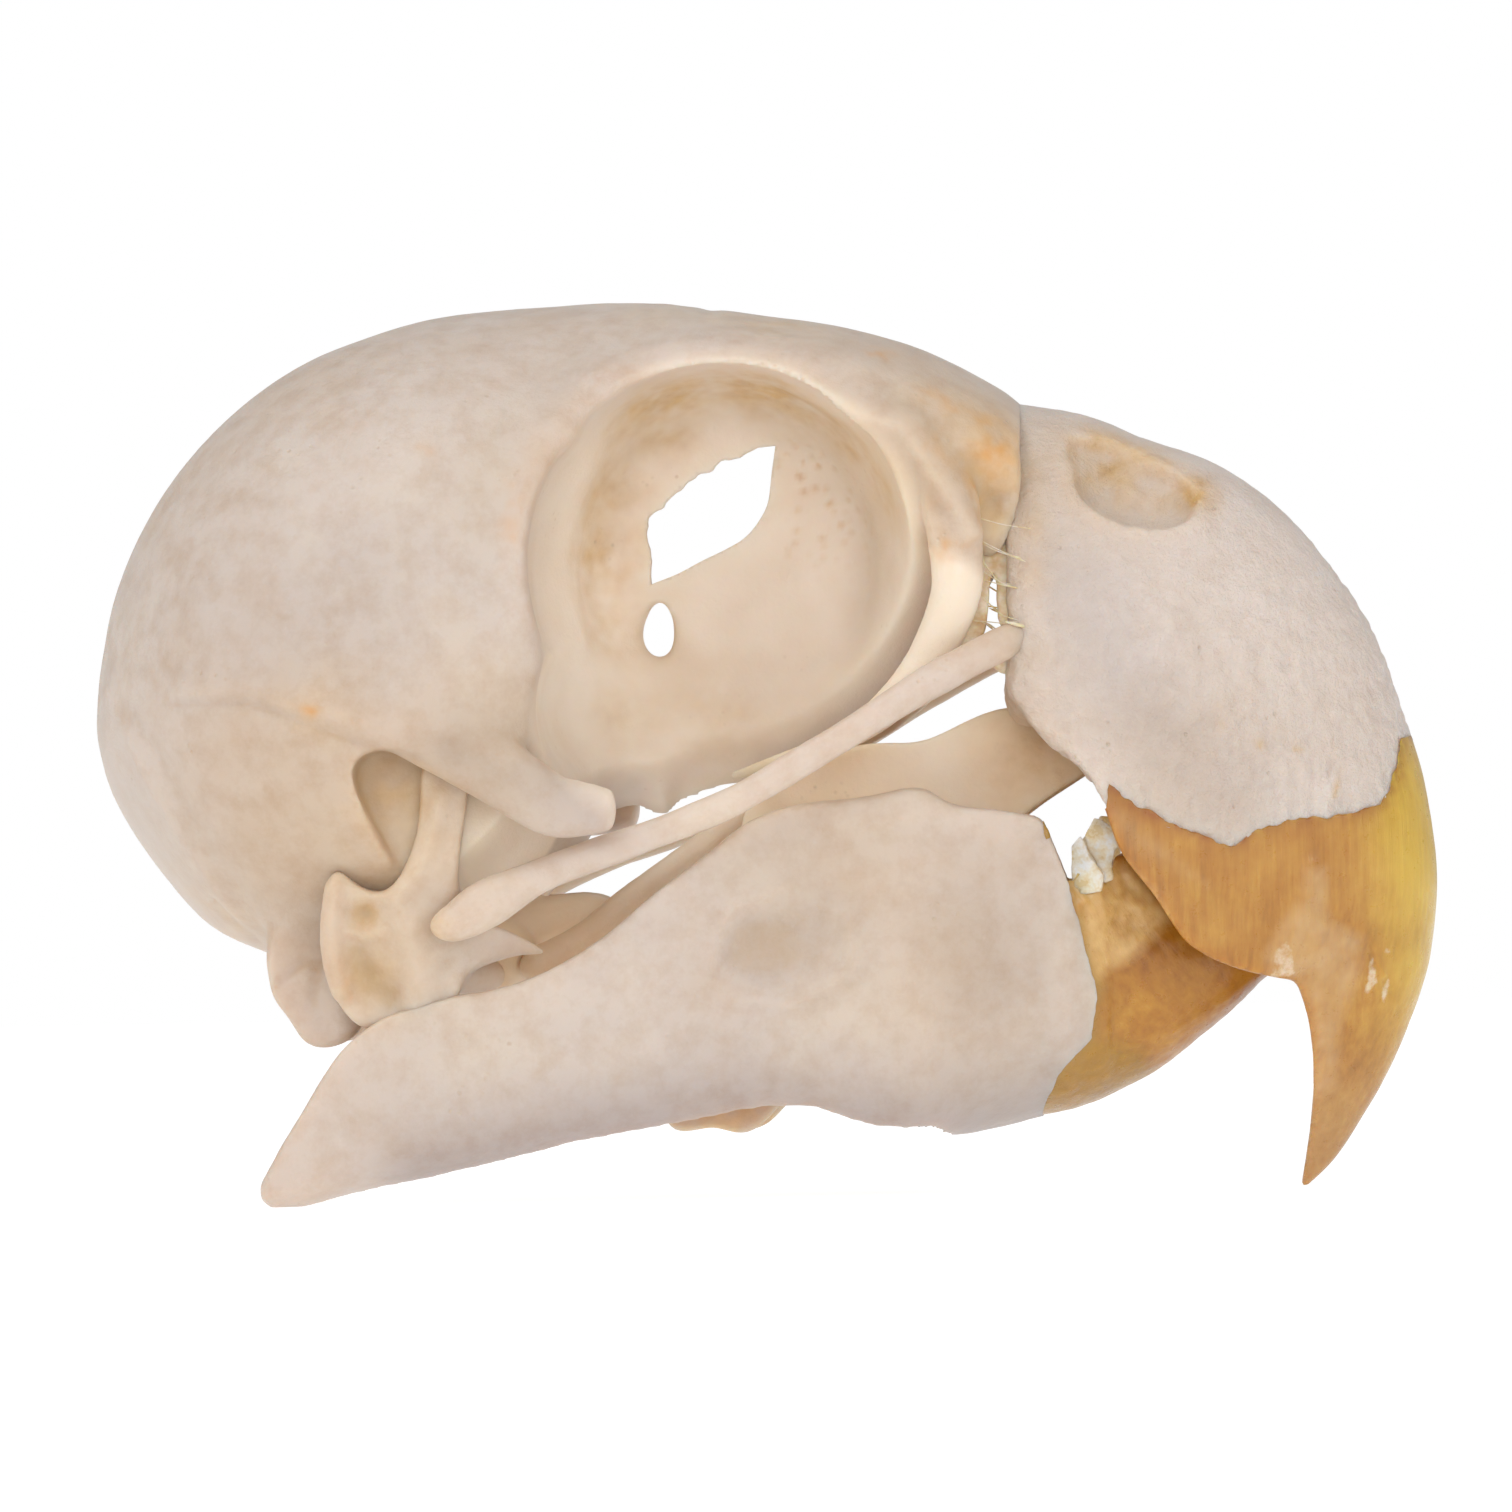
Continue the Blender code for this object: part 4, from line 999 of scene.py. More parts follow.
def makeHinge():
    # skin and sinews that cross from brow to bill, and what is left under the cheek bar's end
    random = np.random.default_rng(7)
    grown = []
    for word, side in sides.items():
        skin = slab("skin", remains["skin"][word], remains["skinHalf"])
        remesh(skin, remains["voxel"], 3)
        points = readPoints(skin)
        out, foot = remains["skinFoot"]
        points[:, 1] += side * (out - remains["skinLean"] * (points[:, 2] - foot))
        writePoints(skin, points)
        grain(skin, remains["skinGrain"])
        grown.append(skin)
        grown += [rod(key, *remains[key], side, flatten=0.6) for key in ("underBar", "darkEnd")]
        for _ in range(remains["strands"]):
            top, x1, y1, x2, y2, fall, sag, thick = [random.uniform(*span) for span in remains["strand"]]
            line = ((x1, y1, top), ((x1 + x2) / 2, (y1 + y2) / 2, top - fall / 2 + sag), (x2, y2, top - fall))
            grown.append(rod("strand", line, (thick * 1.5, thick, thick * 1.7), side, around=8, steps=14))
    return joined("hingeTissue", grown)


def joined(name, parts):
    # one mesh out of several, each left whole
    mesh = bpy.data.meshes.new(name)
    bm = bmesh.new()
    for part in parts:
        bm.from_mesh(part.data)
        bpy.data.objects.remove(part)
    bm.to_mesh(mesh)
    bm.free()
    return inScene(name, mesh)


def makeFlakes():
    # crumpled scales along the torn upper edge of the lower horn
    parts = []
    for side in sides.values():
        for number, (outline, middle) in enumerate(remains["scales"]):
            scale = slab("scale", outline, remains["scaleHalf"], side * middle)
            remesh(scale, remains["voxel"], 1)
            grain(scale, ((0.9, 0.1, 50 + number + 5 * (side > 0)), (0.4, 0.03, 60 + number)))
            parts.append(scale)
    return joined("hornFlakes", parts)


hingeTissue = makeHinge()
hornFlakes = makeFlakes()
print("tissue and flakes", len(hingeTissue.data.polygons), len(hornFlakes.data.polygons), "faces")


# stains, painted shade in hollows and in the socket, painted fill light and horn zones are kept on the meshes
# as point values, which the materials read

zones = {
    # x, distance from the middle, z, radius and strength of each stained place; the ones in the socket are
    # painted shade
    "stain": (
        (7.4, 5.6, 24.4, 1.6, 0.8), (7.3, 5.8, 22.6, 1.2, 0.8), (6.5, 6.4, 21.6, 1.0, 0.4),
        (8.6, 6.1, 22.6, 1.0, 0.5), (8.6, 6.1, 20.8, 0.9, 0.35),
        # painted shade of the socket: behind the hole, the roof, the front, the floor
        (-5.6, 0.8, 23.6, 1.8, 0.75), (-5.5, 0.8, 21.4, 1.6, 0.8), (-5.3, 0.8, 19.0, 1.4, 0.55),
        (-3.4, 0.8, 25.4, 1.3, 0.6), (-3.2, 3.2, 26.4, 2.1, 1.0), (0.2, 3.4, 26.8, 2.2, 1.1),
        (2.9, 3.2, 25.4, 1.6, 0.8), (4.2, 3.4, 23.8, 1.4, 0.75), (2.2, 3.5, 15.9, 1.5, 0.7),
        (-0.2, 3.5, 15.1, 0.9, 0.5), (3.9, 5.0, 17.0, 1.0, 0.5), (-1.5, 0.8, 16.0, 1.6, 0.35),
        (-4.4, 2.0, 16.4, 1.2, 0.4),
        # behind and below the socket
        (-11.4, 8.6, 13.6, 1.9, 0.7), (-12.77, 8.9, 9.7, 0.45, 0.8), (-12.7, 8.2, 7.6, 1.0, 0.6),
        (-14.2, 10.5, 16.2, 1.3, 0.3), (-9.0, 4.0, 7.6, 1.8, 0.5), (-17.0, 4.0, 9.0, 2.4, 0.3),
        (-1.2, 4.0, 2.6, 2.2, 0.9), (-10.4, 9.6, 9.2, 0.5, 0.5), (-12.3, 9.0, 10.9, 0.7, 0.3),
        # the bill and the palate
        (8.6, 5.2, 18.4, 1.2, 0.5), (11.2, 3.3, 24.4, 1.5, 0.95), (13.9, 3.4, 23.3, 1.0, 0.95),
        (12.5, 3.0, 24.5, 1.1, 0.75), (9.4, 3.0, 14.8, 2.4, 0.6),
    ),
    "orange": ((6.3, 6.8, 21.7, 0.5, 1.0), (7.5, 6.0, 24.6, 0.7, 0.7), (6.6, 6.4, 23.2, 0.8, 0.55),
               (7.7, 6.0, 19.4, 0.6, 0.4)),
    # small rust marks: path in the side view, width, strength
    "rust": (
        (((16.25, 15.3), (16.3, 15.2)), 0.13, 0.7), (((17.45, 15.05), (17.75, 15.0)), 0.1, 0.6),
        (((18.9, 14.4), (18.7, 13.5)), 0.1, 0.5), (((20.1, 13.9), (20.2, 13.5)), 0.12, 0.5),
        (((15.0, 15.9), (15.1, 15.8)), 0.1, 0.3), (((-14.6, 16.3), (-14.3, 16.25)), 0.18, 0.6),
        (((-10.9, 24.8), (-10.7, 24.7)), 0.25, 0.2), (((3.6, 28.0), (4.3, 27.8)), 0.2, 0.4),
        (((5.4, 26.6), (7.4, 25.6)), 0.3, 0.35), (((5.6, 25.0), (6.4, 24.2)), 0.3, 0.25),
        (((-7.8, 23.6), (-8.0, 22.0)), 0.4, 0.25),
    ),
    # painted shade and greying, as paths in the side view, width, strength: the first darkens the jaw towards
    # its lower edge, which turns away from the light
    "soiled": (
        (((-10.5, 0.9), (-8.0, 1.5), (-5.5, 2.1), (-0.2, 3.0), (3.6, 2.5), (6.3, 2.4), (9.6, 3.1)), 2.1, 1.0),
        (((0.6, 8.4), (1.6, 9.0)), 1.7, 0.4), (((7.2, 9.2), (7.6, 7.6)), 1.9, 0.35),
        (((-9.5, 15.0), (-5.2, 13.3)), 1.2, 0.5),
        (((10.4, 20.4), (11.3, 18.0), (13.2, 15.4), (15.0, 14.0)), 1.7, 0.38),
        (((-16.4, 19.0), (-13.0, 20.4)), 2.8, 0.28),
    ),
    # broad, faintly yellow places
    "warm": (
        (-14.0, 9.5, 11.5, 5.5, 0.8), (-9.0, 10.5, 15.0, 3.2, 0.7), (-12.5, 8.5, 8.5, 2.6, 1.0),
        (6.0, 6.0, 25.0, 3.6, 0.9), (2.5, 4.0, 11.0, 4.5, 1.0), (9.0, 2.5, 15.0, 3.5, 0.8),
        (-6.5, 9.5, 24.0, 3.0, 0.4), (13.5, 6.5, 14.0, 3.0, 0.35), (6.5, 7.0, 8.0, 3.6, 0.6),
        (-6.0, 4.0, 9.0, 3.0, 0.8), (6.0, 6.6, 20.5, 2.4, 0.25), (11.8, 4.6, 23.9, 2.0, 0.8),
    ),
    # painted fill light: inside these eggs the bone is painted paler where it lies in shade, in the sockets,
    # the ear and other hollows, standing in for light through the thin bone; centre and radii
    "sheltered": (((-0.9, 5.5, 20.7), (7.2, 10.0, 7.6)), ((-3.3, 5.5, 15.8), (5.0, 7.5, 4.8)),
                  ((-9.4, 6.6, 12.2), (5.2, 2.6, 4.0)), ((-7.6, 3.0, 8.8), (4.6, 3.0, 3.0)),
                  ((5.6, 6.0, 18.6), (2.6, 2.6, 3.6))),
    "eggBlend": 0.15,
    "hollowDepth": 0.09,       # mm that count as a full hollow
    "hollowRounds": 40,
    # painted shade: how much darker the sieve's pits are painted
    "sievePitShade": 0.75,
    # how uneven the stains are: middle value, then share, size and seed of each layer
    "bonePatches": (0.75, ((0.5, 0.9, 31), (0.35, 0.35, 32))),
    "hornPatches": (0.7, ((0.7, 0.7, 33), (0.5, 0.25, 34))),
    # on the horn: outlines in the side view, each with its strength. The second is painted light: it lifts
    # the shade that the upper horn casts on the lower horn
    "pale": (
        (((17.85, 11.1), (18.4, 11.1), (18.4, 10.1), (18.5, 9.4), (19.6, 8.85), (19.6, 8.05), (19.2, 7.0),
          (18.85, 6.1), (18.7, 4.0), (18.0, 3.6), (18.0, 6.5), (17.5, 7.5), (16.6, 7.6), (16.5, 8.3),
          (17.2, 9.6), (17.75, 10.2)), 0.65),
        (((10.2, 11.6), (11.9, 11.3), (12.9, 10.3), (13.3, 9.4), (12.2, 8.3), (10.9, 7.6), (10.6, 9.0)), 0.9),
        (((11.2, 13.5), (12.4, 12.6), (14.6, 10.6), (13.2, 11.3), (11.6, 12.4)), 0.3),
    ),
    # yellower place at the lower rear end of the lower horn
    "lowYellow": ((((8.9, 4.4), (10.7, 5.7), (12.4, 5.2), (13.0, 4.2), (11.5, 3.2), (9.2, 2.8)), 0.85),),
    "chalk": (
        (((16.55, 7.5), (17.5, 7.6), (17.4, 8.6), (17.1, 9.0), (16.7, 8.4)), 0.55),
        (((19.63, 7.07), (19.83, 8.12), (19.96, 8.45), (20.16, 7.46), (19.83, 6.93)), 0.7),
        (((20.16, 6.87), (20.23, 7.33), (20.55, 7.72), (20.49, 7.13), (20.33, 6.7)), 0.7),
        (((20.3, 8.65), (20.6, 8.5), (20.62, 8.2), (20.3, 8.35)), 0.6),
        (((18.5, 9.45), (19.7, 8.75), (19.65, 8.65), (18.5, 9.25)), 0.5),
    ),
    # where the yellow front of the upper horn begins: z and x. Its bright yellow is partly the horn's own
    # colour and partly painted light that shines through the thin horn
    "yellowFrom": ((3.0, 19.8), (4.8, 20.0), (5.5, 20.1), (6.8, 20.45), (8.5, 20.75), (9.4, 20.65),
                   (10.4, 20.5), (11.4, 20.3), (12.4, 20.05), (13.4, 19.8), (14.5, 19.9)),
}


def insideEgg(points, centre, radii):
    # 1 well inside the egg shape on either side, falling to 0 at its skin
    place = (folded(points) - centre) / radii
    return np.clip((1 - np.linalg.norm(place, axis=1)) / zones["eggBlend"], 0, 1)


def patches(points, middle, layers):
    return middle + sum(share * rough(points, size, seed) for share, size, seed in layers)


def markBone(obj, inner=0.0):
    # inner is a share of painted fill light laid over the whole piece
    points, normals = readPoints(obj), readNormals(obj)
    patchy = patches(points, *zones["bonePatches"])
    # faces that look inwards, and the braincase's eggs, are painted paler: painted fill light where the bone
    # lies in shade
    inward = np.clip(-1.5 * normals[:, 1] * np.sign(points[:, 1]) - 0.2, 0, 1)
    sheltered = np.maximum(inward, inner)
    if obj is craniumPiece:
        sheltered = np.max([insideEgg(points, *egg) for egg in zones["sheltered"]], 0)
    setMask(obj, "sheltered", sheltered)
    setMask(obj, "warm", spotMask(points, zones["warm"]))
    # painted shade along the jaw's lower edge, and greyer places
    setMask(obj, "soiled", flatMask(points, zones["soiled"]))
    # stains, with painted shade in the socket and in the sieve's pits
    stain = spotMask(points, zones["stain"]) * patchy
    if obj is craniumPiece:
        # painted shade in the sieve's pits
        sieve = sievePattern(points, cranium["sieve"], cranium["sieveSize"])
        stain = np.maximum(stain, zones["sievePitShade"] * sieve)
    setMask(obj, "stain", stain)
    crusted = np.clip(2.4 * patchy - 1.3, 0.1, 1.3)
    rust = flatMask(points, zones["rust"]) * (1 - sheltered)
    setMask(obj, "orange", np.maximum(spotMask(points, zones["orange"]), rust) * crusted)
    # painted shade: hollows are darkened in colour, less where the painted fill light lies
    hollow = hollowMask(obj, zones["hollowRounds"]) / zones["hollowDepth"]
    setMask(obj, "hollow", 0.5 + 0.5 * hollow * (1 - 0.75 * sheltered))


def markHorn(obj, line):
    points = readPoints(obj)
    patchy = patches(points, *zones["hornPatches"])
    border = np.interp(points[:, 2], *np.transpose(zones["yellowFrom"]))
    ahead = points[:, 0] - border + 0.35 * rough(points, 1.6, 35)
    # the front is painted yellow: partly the horn's colour, partly painted light through it
    front = np.clip(0.5 + ahead / 2.0, 0, 1) * np.clip((points[:, 2] - 3.5) / 4.5, 0, 1)
    setMask(obj, "front", np.maximum(front, areaMask(points, zones["lowYellow"], 0.7)))
    setMask(obj, "tip", 1 / (1 + np.exp((points[:, 2] - 4.0) * 1.4)))
    # pale places, one of them painted light in the upper horn's shadow
    setMask(obj, "pale", areaMask(points, zones["pale"], 0.5) * (0.45 + 0.55 * patchy))
    setMask(obj, "chalk", areaMask(points, zones["chalk"], 0.2) * (0.5 + 0.5 * patchy))
    setMask(obj, "seam", np.exp(-lineDistance(points[:, [0, 2]], line) / 0.3) * patchy)


# materials

def hexToLinear(code):
    parts = [int(code[at:at + 2], 16) / 255 for at in (1, 3, 5)]
    return (*(part / 12.92 if part <= 0.04045 else ((part + 0.055) / 1.055) ** 2.4 for part in parts), 1.0)


def addNode(tree, kind, settings, inputs):
    # settings are the node's own; inputs are constants or the output sockets that feed it
    node = tree.nodes.new("ShaderNode" + kind)
    for key, value in settings.items():
        if key == "ramp":
            stops = node.color_ramp.elements
            while len(stops) < len(value):
                stops.new(0.5)
            for stop, (place, tone) in zip(stops, value):
                stop.position = place
                stop.color = hexToLinear(tone)
        else:
            setattr(node, key, value)
    for key, value in inputs.items():
        if isinstance(value, bpy.types.NodeSocket):
            tree.links.new(value, node.inputs[key])
        else:
            node.inputs[key].default_value = value
    return node


def startMaterial(name, constants):
    # a Principled shader with its constants, and a place vector counted in millimetres
    material = bpy.data.materials.new(name)
    material.use_nodes = True
    tree = material.node_tree
    shader = tree.nodes["Principled BSDF"]
    for key, value in constants.items():
        shader.inputs[key].default_value = value
    spot = addNode(tree, "TexCoord", {}, {}).outputs["Object"]
    place = addNode(tree, "Mapping", {}, {"Vector": spot, "Scale": (1000, 1000, 1000)}).outputs[0]
    return material, tree, shader, place


def layZones(tree, colour, zoneTones, blend="MIX"):
    # lays colours over each other where the piece's point values say
    for zone, tone in zoneTones.items():
        share = addNode(tree, "Attribute", {"attribute_name": zone}, {}).outputs["Fac"]
        settings = {"data_type": "RGBA", "blend_type": blend}
        colour = addNode(tree, "Mix", settings, {0: share, 6: colour, 7: tone}).outputs[2]
    return colour


def finishMaterial(tree, shader, colour, wear, polish, bump):
    # polish is the roughness in the low and the high parts of the wear pattern
    gloss = addNode(tree, "MapRange", {}, {
        "Value": wear, "From Min": 0.35, "From Max": 0.65, "To Min": polish[0], "To Max": polish[1],
    })
    for key, socket in (("Base Color", colour), ("Roughness", gloss.outputs[0]), ("Normal", bump.outputs[0])):
        tree.links.new(socket, shader.inputs[key])


boneLook = {
    "cloud": ((0.32, "#c9b7a7"), (0.5, "#ccbeb3"), (0.68, "#d0c2b4")),
    # the inner ramp is the paler tone of the painted fill light in shaded places
    "inner": ((0.32, "#e2cfb9"), (0.5, "#eadccb"), (0.68, "#f0e4d6")),
    "mottle": ((0.3, "#ede0d2"), (0.58, "#ffffff")),
    # tone of the stains and of the painted shade in the socket
    "stainAndShadeRamp": ((0.3, "#c59c62"), (0.65, "#dbb984")),
    "warm": "#faeed8",
    # grey for the painted shade along the jaw's lower edge and the other greyed places
    "soiled": "#d5d5dc",
    "orange": "#d2933f",
    # deep is the ochre brown of the painted shade in hollows
    "deep": "#c09a62",
    "poreSize": 0.34,
    "poreShade": "#c2ac94",
    "roughness": (0.36, 0.56),
    "bumpDepth": 0.00003,
}
coreLook = {
    "cloud": ((0.32, "#d0c1b5"), (0.5, "#d5c7bd"), (0.66, "#dacec6")),
    # the inner ramp is the paler tone of the painted fill light in shaded places
    "inner": ((0.32, "#eddac2"), (0.5, "#f2e4d2"), (0.68, "#f7ead8")),
    "mottle": ((0.3, "#f8f3ee"), (0.58, "#ffffff")),
    "stainAndShadeRamp": ((0.3, "#b68b4c"), (0.65, "#cfab72")),
    "warm": "#f8ead2",
    # grey for the painted shade and the greyed places
    "soiled": "#d5d5dc",
    "orange": "#c6a26c",
    # deep is the tone of the painted shade in hollows
    "deep": "#d5c7bd",
    "poreSize": 0.3,
    "poreShade": "#c8b49c",
    "roughness": (0.38, 0.46),
    "bumpDepth": 0.00014,
}


def makeBoneMaterial(name, look):
    # dry bird bone, cleaned by maceration: ivory with ochre grease stains, fine pores and a dull waxy gloss
    material, tree, shader, place = startMaterial(name, {
        "IOR": 1.55, "Subsurface Weight": 0.52,
        "Subsurface Radius": (1.0, 0.62, 0.4), "Subsurface Scale": 0.0014,
    })

    # clouds about 6 mm wide, mottling about 1 mm wide
    cloud = addNode(tree, "TexNoise", {}, {"Vector": place, "Scale": 0.16, "Detail": 3.0, "Roughness": 0.62})
    mottle = addNode(tree, "TexNoise", {}, {"Vector": place, "Scale": 1.1, "Detail": 4.0, "Roughness": 0.68})
    tones = {
        key: addNode(tree, "ValToRGB", {"ramp": look[key]}, {0: source.outputs[0]}).outputs[0]
        for key, source in (("cloud", cloud), ("inner", cloud), ("mottle", mottle), ("stainAndShadeRamp", mottle))
    }
    settings = {"data_type": "RGBA", "blend_type": "MULTIPLY"}
    colour = addNode(tree, "Mix", settings, {0: 0.6, 6: tones["cloud"], 7: tones["mottle"]}).outputs[2]
    # painted fill light: paler tones where the bone lies in shade
    colour = layZones(tree, colour, {"sheltered": tones["inner"]})
    # warm yellows the bone; the next zone greys it, as painted shade along the jaw's lower edge
    colour = layZones(tree, colour, {key: hexToLinear(look[key]) for key in ("warm", "soiled")}, "MULTIPLY")
    colour = layZones(tree, colour, {"stain": tones["stainAndShadeRamp"], "orange": hexToLinear(look["orange"])})
    # painted shade: the hollows are darkened towards deep
    hollow = addNode(tree, "Attribute", {"attribute_name": "hollow"}, {}).outputs["Fac"]
    deep = addNode(tree, "MapRange", {}, {"Value": hollow, "From Min": 0.64, "From Max": 1.1, "To Max": 0.4})

    # pores: real ones are 0.05 mm, drawn coarser so that they show
    spacing = {"Vector": place, "Scale": 1 / look["poreSize"], "Randomness": 1.0}
    pores = addNode(tree, "TexVoronoi", {}, spacing).outputs["Distance"]
    pore = addNode(tree, "MapRange", {}, {"Value": pores, "From Min": 0.05, "From Max": 0.26})
    where = addNode(tree, "TexNoise", {}, {"Vector": place, "Scale": 0.5, "Detail": 3.0})
    rare = addNode(tree, "MapRange", {}, {"Value": where.outputs[0], "From Min": 0.58, "From Max": 0.72})
    sunk = addNode(tree, "Math", {"operation": "SUBTRACT"}, {0: 1.0, 1: pore.outputs[0]})
    sunk = addNode(tree, "Math", {"operation": "MULTIPLY"}, {0: sunk.outputs[0], 1: rare.outputs[0]})
    # painted shade: the pits are darkened in colour as well as sunk
    tint = addNode(tree, "Math", {"operation": "MULTIPLY"}, {0: sunk.outputs[0], 1: 0.7})
    for share, key in ((deep, "deep"), (tint, "poreShade")):
        tone = {0: share.outputs[0], 6: colour, 7: hexToLinear(look[key])}
        colour = addNode(tree, "Mix", {"data_type": "RGBA"}, tone).outputs[2]

    fine = addNode(tree, "TexNoise", {}, {"Vector": place, "Scale": 4.5, "Detail": 3.0, "Roughness": 0.7})
    height = addNode(tree, "Math", {"operation": "SUBTRACT"}, {0: fine.outputs[0], 1: sunk.outputs[0]})
    relief = {"Height": height.outputs[0], "Strength": 0.8, "Distance": look["bumpDepth"]}
    bump = addNode(tree, "Bump", {}, relief)
    finishMaterial(tree, shader, colour, mottle.outputs[0], look["roughness"], bump)
    return material


upperHornLook = {
    "side": ((0.3, "#8c5a1e"), (0.46, "#b0782b"), (0.6, "#c18f3c"), (0.72, "#cea554")),
    # front: bright yellow, partly the horn's colour and partly painted light through the horn
    "front": ((0.3, "#c29a33"), (0.6, "#d6b347")),
    "tip": ((0.3, "#a1723c"), (0.65, "#be965e")),
    "pale": "#cba777",
    "seam": "#9a5a1c",
    "chalk": "#ddcbb0",
    "laminae": (4.2, 4.2, 0.28),           # layers to the millimetre across the growth, and along it
    "tilt": 0.0,                           # radians that the growth leans over
}
lowerHornLook = {
    "side": ((0.3, "#8c5414"), (0.46, "#aa6f1a"), (0.6, "#bb8428"), (0.72, "#c99a42")),
    "front": ((0.3, "#8a6204"), (0.6, "#a97c0e")),
    "tip": ((0.3, "#845004"), (0.65, "#a5700c")),
    # pale is partly painted light under the upper horn
    "pale": "#d8b274",
    "seam": "#a8803c",
    "chalk": "#ddcbb0",
    "laminae": (3.4, 3.4, 0.3),
    "tilt": 0.75,
}


def makeHornMaterial(name, look):
    # beak horn (keratin), grown in thin layers: amber, half clear, streaked along its growth, polished by use
    material, tree, shader, place = startMaterial(name, {
        "IOR": 1.54, "Subsurface Weight": 0.5, "Subsurface Radius": (1.0, 0.5, 0.16),
        "Subsurface Scale": 0.001, "Coat Weight": 0.12, "Coat Roughness": 0.12,
    })
    leaning = addNode(tree, "Mapping", {}, {"Vector": place, "Rotation": (0, look["tilt"], 0)}).outputs[0]
    grown = addNode(tree, "Mapping", {}, {"Vector": leaning, "Scale": look["laminae"]}).outputs[0]
    layers = addNode(tree, "TexNoise", {}, {"Vector": grown, "Scale": 1.0, "Detail": 6.0, "Roughness": 0.6})
    cloud = addNode(tree, "TexNoise", {}, {"Vector": place, "Scale": 0.35, "Detail": 5.0, "Roughness": 0.6})
    both = addNode(tree, "Mix", {}, {0: 0.6, 2: layers.outputs[0], 3: cloud.outputs[0]}).outputs[0]
    tones = {
        key: addNode(tree, "ValToRGB", {"ramp": look[key]}, {0: both}).outputs[0]
        for key in ("side", "tip", "front")
    }
    colour = layZones(tree, tones["side"], {key: tones[key] for key in ("tip", "front")})
    colour = layZones(tree, colour, {key: hexToLinear(look[key]) for key in ("seam", "pale")})

    # crumbs of chalky horn about 0.4 mm wide, where the surface has scaled off
    chalk = addNode(tree, "Attribute", {"attribute_name": "chalk"}, {}).outputs["Fac"]
    crumbs = addNode(tree, "TexNoise", {}, {
        "Vector": place, "Scale": 2.6, "Detail": 8.0, "Roughness": 0.75,
    }).outputs[0]
    share = addNode(tree, "Math", {"operation": "ADD"}, {0: chalk, 1: crumbs}).outputs[0]
    share = addNode(tree, "MapRange", {}, {"Value": share, "From Min": 0.9, "From Max": 1.15, "To Max": 0.8})
    tone = {0: share.outputs[0], 6: colour, 7: hexToLinear(look["chalk"])}
    colour = addNode(tree, "Mix", {"data_type": "RGBA"}, tone).outputs[2]
    bump = addNode(tree, "Bump", {}, {"Height": layers.outputs[0], "Strength": 0.7, "Distance": 0.00004})
    relief = {"Height": crumbs, "Strength": 0.5, "Distance": 0.00002, "Normal": bump.outputs[0]}
    finishMaterial(tree, shader, colour, crumbs, (0.24, 0.46), addNode(tree, "Bump", {}, relief))
    return material


def makeTissueMaterial():
    # dried sinew and skin: shrunken and brittle, pale straw with browner folds
    material, tree, shader, place = startMaterial("driedTissue", {
        "IOR": 1.5, "Subsurface Weight": 0.5,
        "Subsurface Radius": (1.0, 0.4, 0.12), "Subsurface Scale": 0.0006,
    })
    patch = addNode(tree, "TexNoise", {}, {"Vector": place, "Scale": 1.4, "Detail": 3.0, "Roughness": 0.65})
    ramp = ((0.34, "#cfae80"), (0.5, "#dcc6a4"), (0.66, "#e8dac6"))
    colour = addNode(tree, "ValToRGB", {"ramp": ramp}, {0: patch.outputs[0]}).outputs[0]
    fibre = addNode(tree, "Mapping", {}, {"Vector": place, "Scale": (1.5, 8.0, 8.0)}).outputs[0]
    streak = addNode(tree, "TexNoise", {}, {"Vector": fibre, "Scale": 1.0, "Detail": 3.0}).outputs[0]
    bump = addNode(tree, "Bump", {}, {"Height": streak, "Strength": 0.8, "Distance": 0.00005})
    finishMaterial(tree, shader, colour, patch.outputs[0], (0.5, 0.32), bump)
    return material


def makeScaleMaterial():
    # loose horn scales, thin enough to pass light: pale and slightly milky
    material, tree, shader, place = startMaterial("hornScale", {
        "IOR": 1.54, "Subsurface Weight": 1.0,
        "Subsurface Radius": (1.0, 0.85, 0.7), "Subsurface Scale": 0.0012,
    })
    patch = addNode(tree, "TexNoise", {}, {"Vector": place, "Scale": 1.8, "Detail": 3.0, "Roughness": 0.7})
    ramp = ((0.36, "#d9b684"), (0.5, "#e7d2b4"), (0.62, "#f2e8dc"))
    colour = addNode(tree, "ValToRGB", {"ramp": ramp}, {0: patch.outputs[0]}).outputs[0]
    bump = addNode(tree, "Bump", {}, {"Height": patch.outputs[0], "Strength": 0.7, "Distance": 0.00005})
    finishMaterial(tree, shader, colour, patch.outputs[0], (0.25, 0.5), bump)
    return material


dryBone = makeBoneMaterial("dryBone", boneLook)
billCoreBone = makeBoneMaterial("billCoreBone", coreLook)
upperKeratin = makeHornMaterial("upperBeakHorn", upperHornLook)
lowerKeratin = makeHornMaterial("lowerBeakHorn", lowerHornLook)
driedTissue = makeTissueMaterial()
hornScale = makeScaleMaterial()
print("materials made")


# into the frame

def setInFrame(piece, material, node=None):
    piece.data.transform(restMatrix)
    points = readPoints(piece)
    points[:, 2] = np.maximum(points[:, 2], 0.0)  # the worn feet
    writePoints(piece, points)
    piece.data.materials.clear()
    piece.data.materials.append(material)
    piece.data.shade_smooth()
    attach(piece, "root")
    if node:
        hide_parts(node)


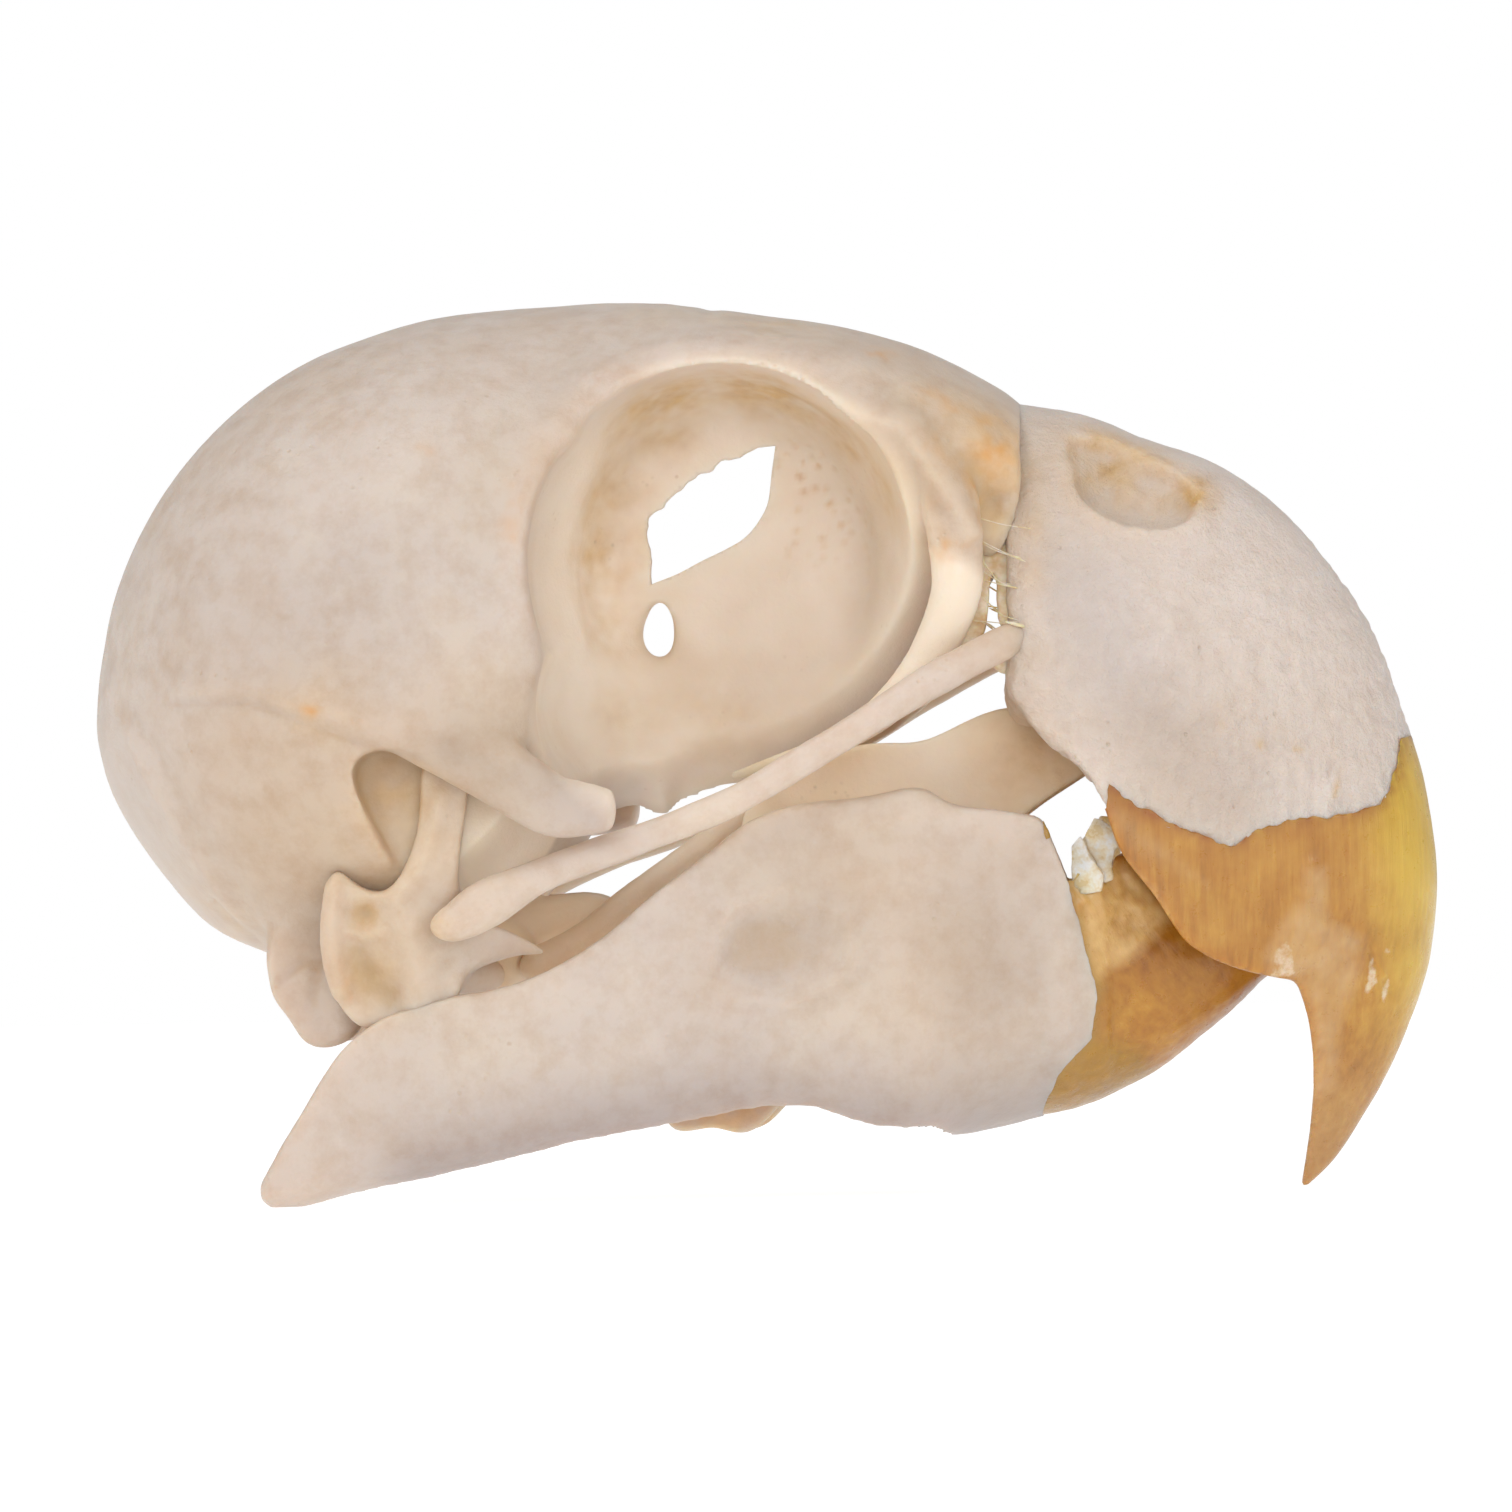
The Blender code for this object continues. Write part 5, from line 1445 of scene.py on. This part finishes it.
# share of painted fill light on the inner bones, which lie in shade
shade = {"palatine": 0.9, "pterygoid": 0.6}  # how sheltered the inner bones' surfaces are
for piece in (craniumPiece, billBone, jawBone):
    markBone(piece)
for node, bone in loose.items():
    markBone(bone, shade.get(node.split("_")[0], 0.1))
markHorn(upperHorn, upperBill["hornLine"])
markHorn(lowerHorn, jaw["hornLine"])
for piece, material, slot, node in (
    (craniumPiece, dryBone, "bone", "cranium"),
    (billBone, billCoreBone, "bone", "upper_bill_bone"),
    (upperHorn, upperKeratin, "upper_horn", "upper_bill_sheath"),
    (jawBone, dryBone, "bone", "lower_jaw"),
    (lowerHorn, lowerKeratin, "lower_horn", "lower_bill_sheath"),
    (hingeTissue, driedTissue, "upper_horn", None),
    (hornFlakes, hornScale, "lower_horn", None),
):
    setInFrame(piece, material, node)
for node, bone in loose.items():
    setInFrame(bone, dryBone, node)
print("pieces placed")


# light table, sky and lamps

studio = {
    "tableRadius": 0.6,
    "tableGlow": 0.86,
    "backdrop": 1.0,
    "skyLight": 0.5,
    "aim": (0, 0, 0.015),
    # where each lamp stands, its width and its power in watts
    "lamps": (
        ("frontBox", (0.1, -0.62, 0.14), 0.45, 1.1),
        ("keyBox", (-0.2, -0.25, 0.5), 0.2, 0.85),
        ("sideBox", (-0.5, -0.3, 0.2), 0.12, 0.42),
        ("edgeBox", (0.45, -0.35, 0.2), 0.12, 0.5),
    ),
}


def makeTable():
    # opal acrylic sheet lit from below: an even white with a soft contact shadow
    bm = bmesh.new()
    bmesh.ops.create_circle(bm, cap_ends=True, segments=96, radius=studio["tableRadius"])
    mesh = bpy.data.meshes.new("lightTable")
    bm.to_mesh(mesh)
    bm.free()
    table = inScene("lightTable", mesh)
    mesh.materials.append(startMaterial("opalAcrylic", {
        "Base Color": hexToLinear("#8c8c8c"), "IOR": 1.49, "Roughness": 0.6,
        "Emission Color": (1, 1, 1, 1), "Emission Strength": studio["tableGlow"],
    })[0])


def addLamps():
    for name, spot, width, power in studio["lamps"]:
        light = bpy.data.lights.new(name, "AREA")
        light.size, light.energy = width, power
        lamp = inScene(name, light)
        lamp.location = spot
        aim = Vector(studio["aim"]) - Vector(spot)
        lamp.rotation_euler = aim.to_track_quat("-Z", "Y").to_euler()


makeTable()
addLamps()
# a white backdrop that gives less light than it shows
world = bpy.data.worlds.new("softSky")
world.use_nodes = True
tree = world.node_tree
shown = addNode(tree, "Background", {}, {"Color": (1, 1, 1, 1), "Strength": studio["backdrop"]})
given = addNode(tree, "Background", {}, {"Color": (1, 1, 1, 1), "Strength": studio["skyLight"]})
seen = addNode(tree, "LightPath", {}, {}).outputs["Is Camera Ray"]
blend = addNode(tree, "MixShader", {}, {0: seen, 1: given.outputs[0], 2: shown.outputs[0]})
tree.links.new(blend.outputs[0], tree.nodes["World Output"].inputs[0])
bpy.context.scene.world = world
bpy.context.scene.view_settings.view_transform = "Standard"
print("studio lit")
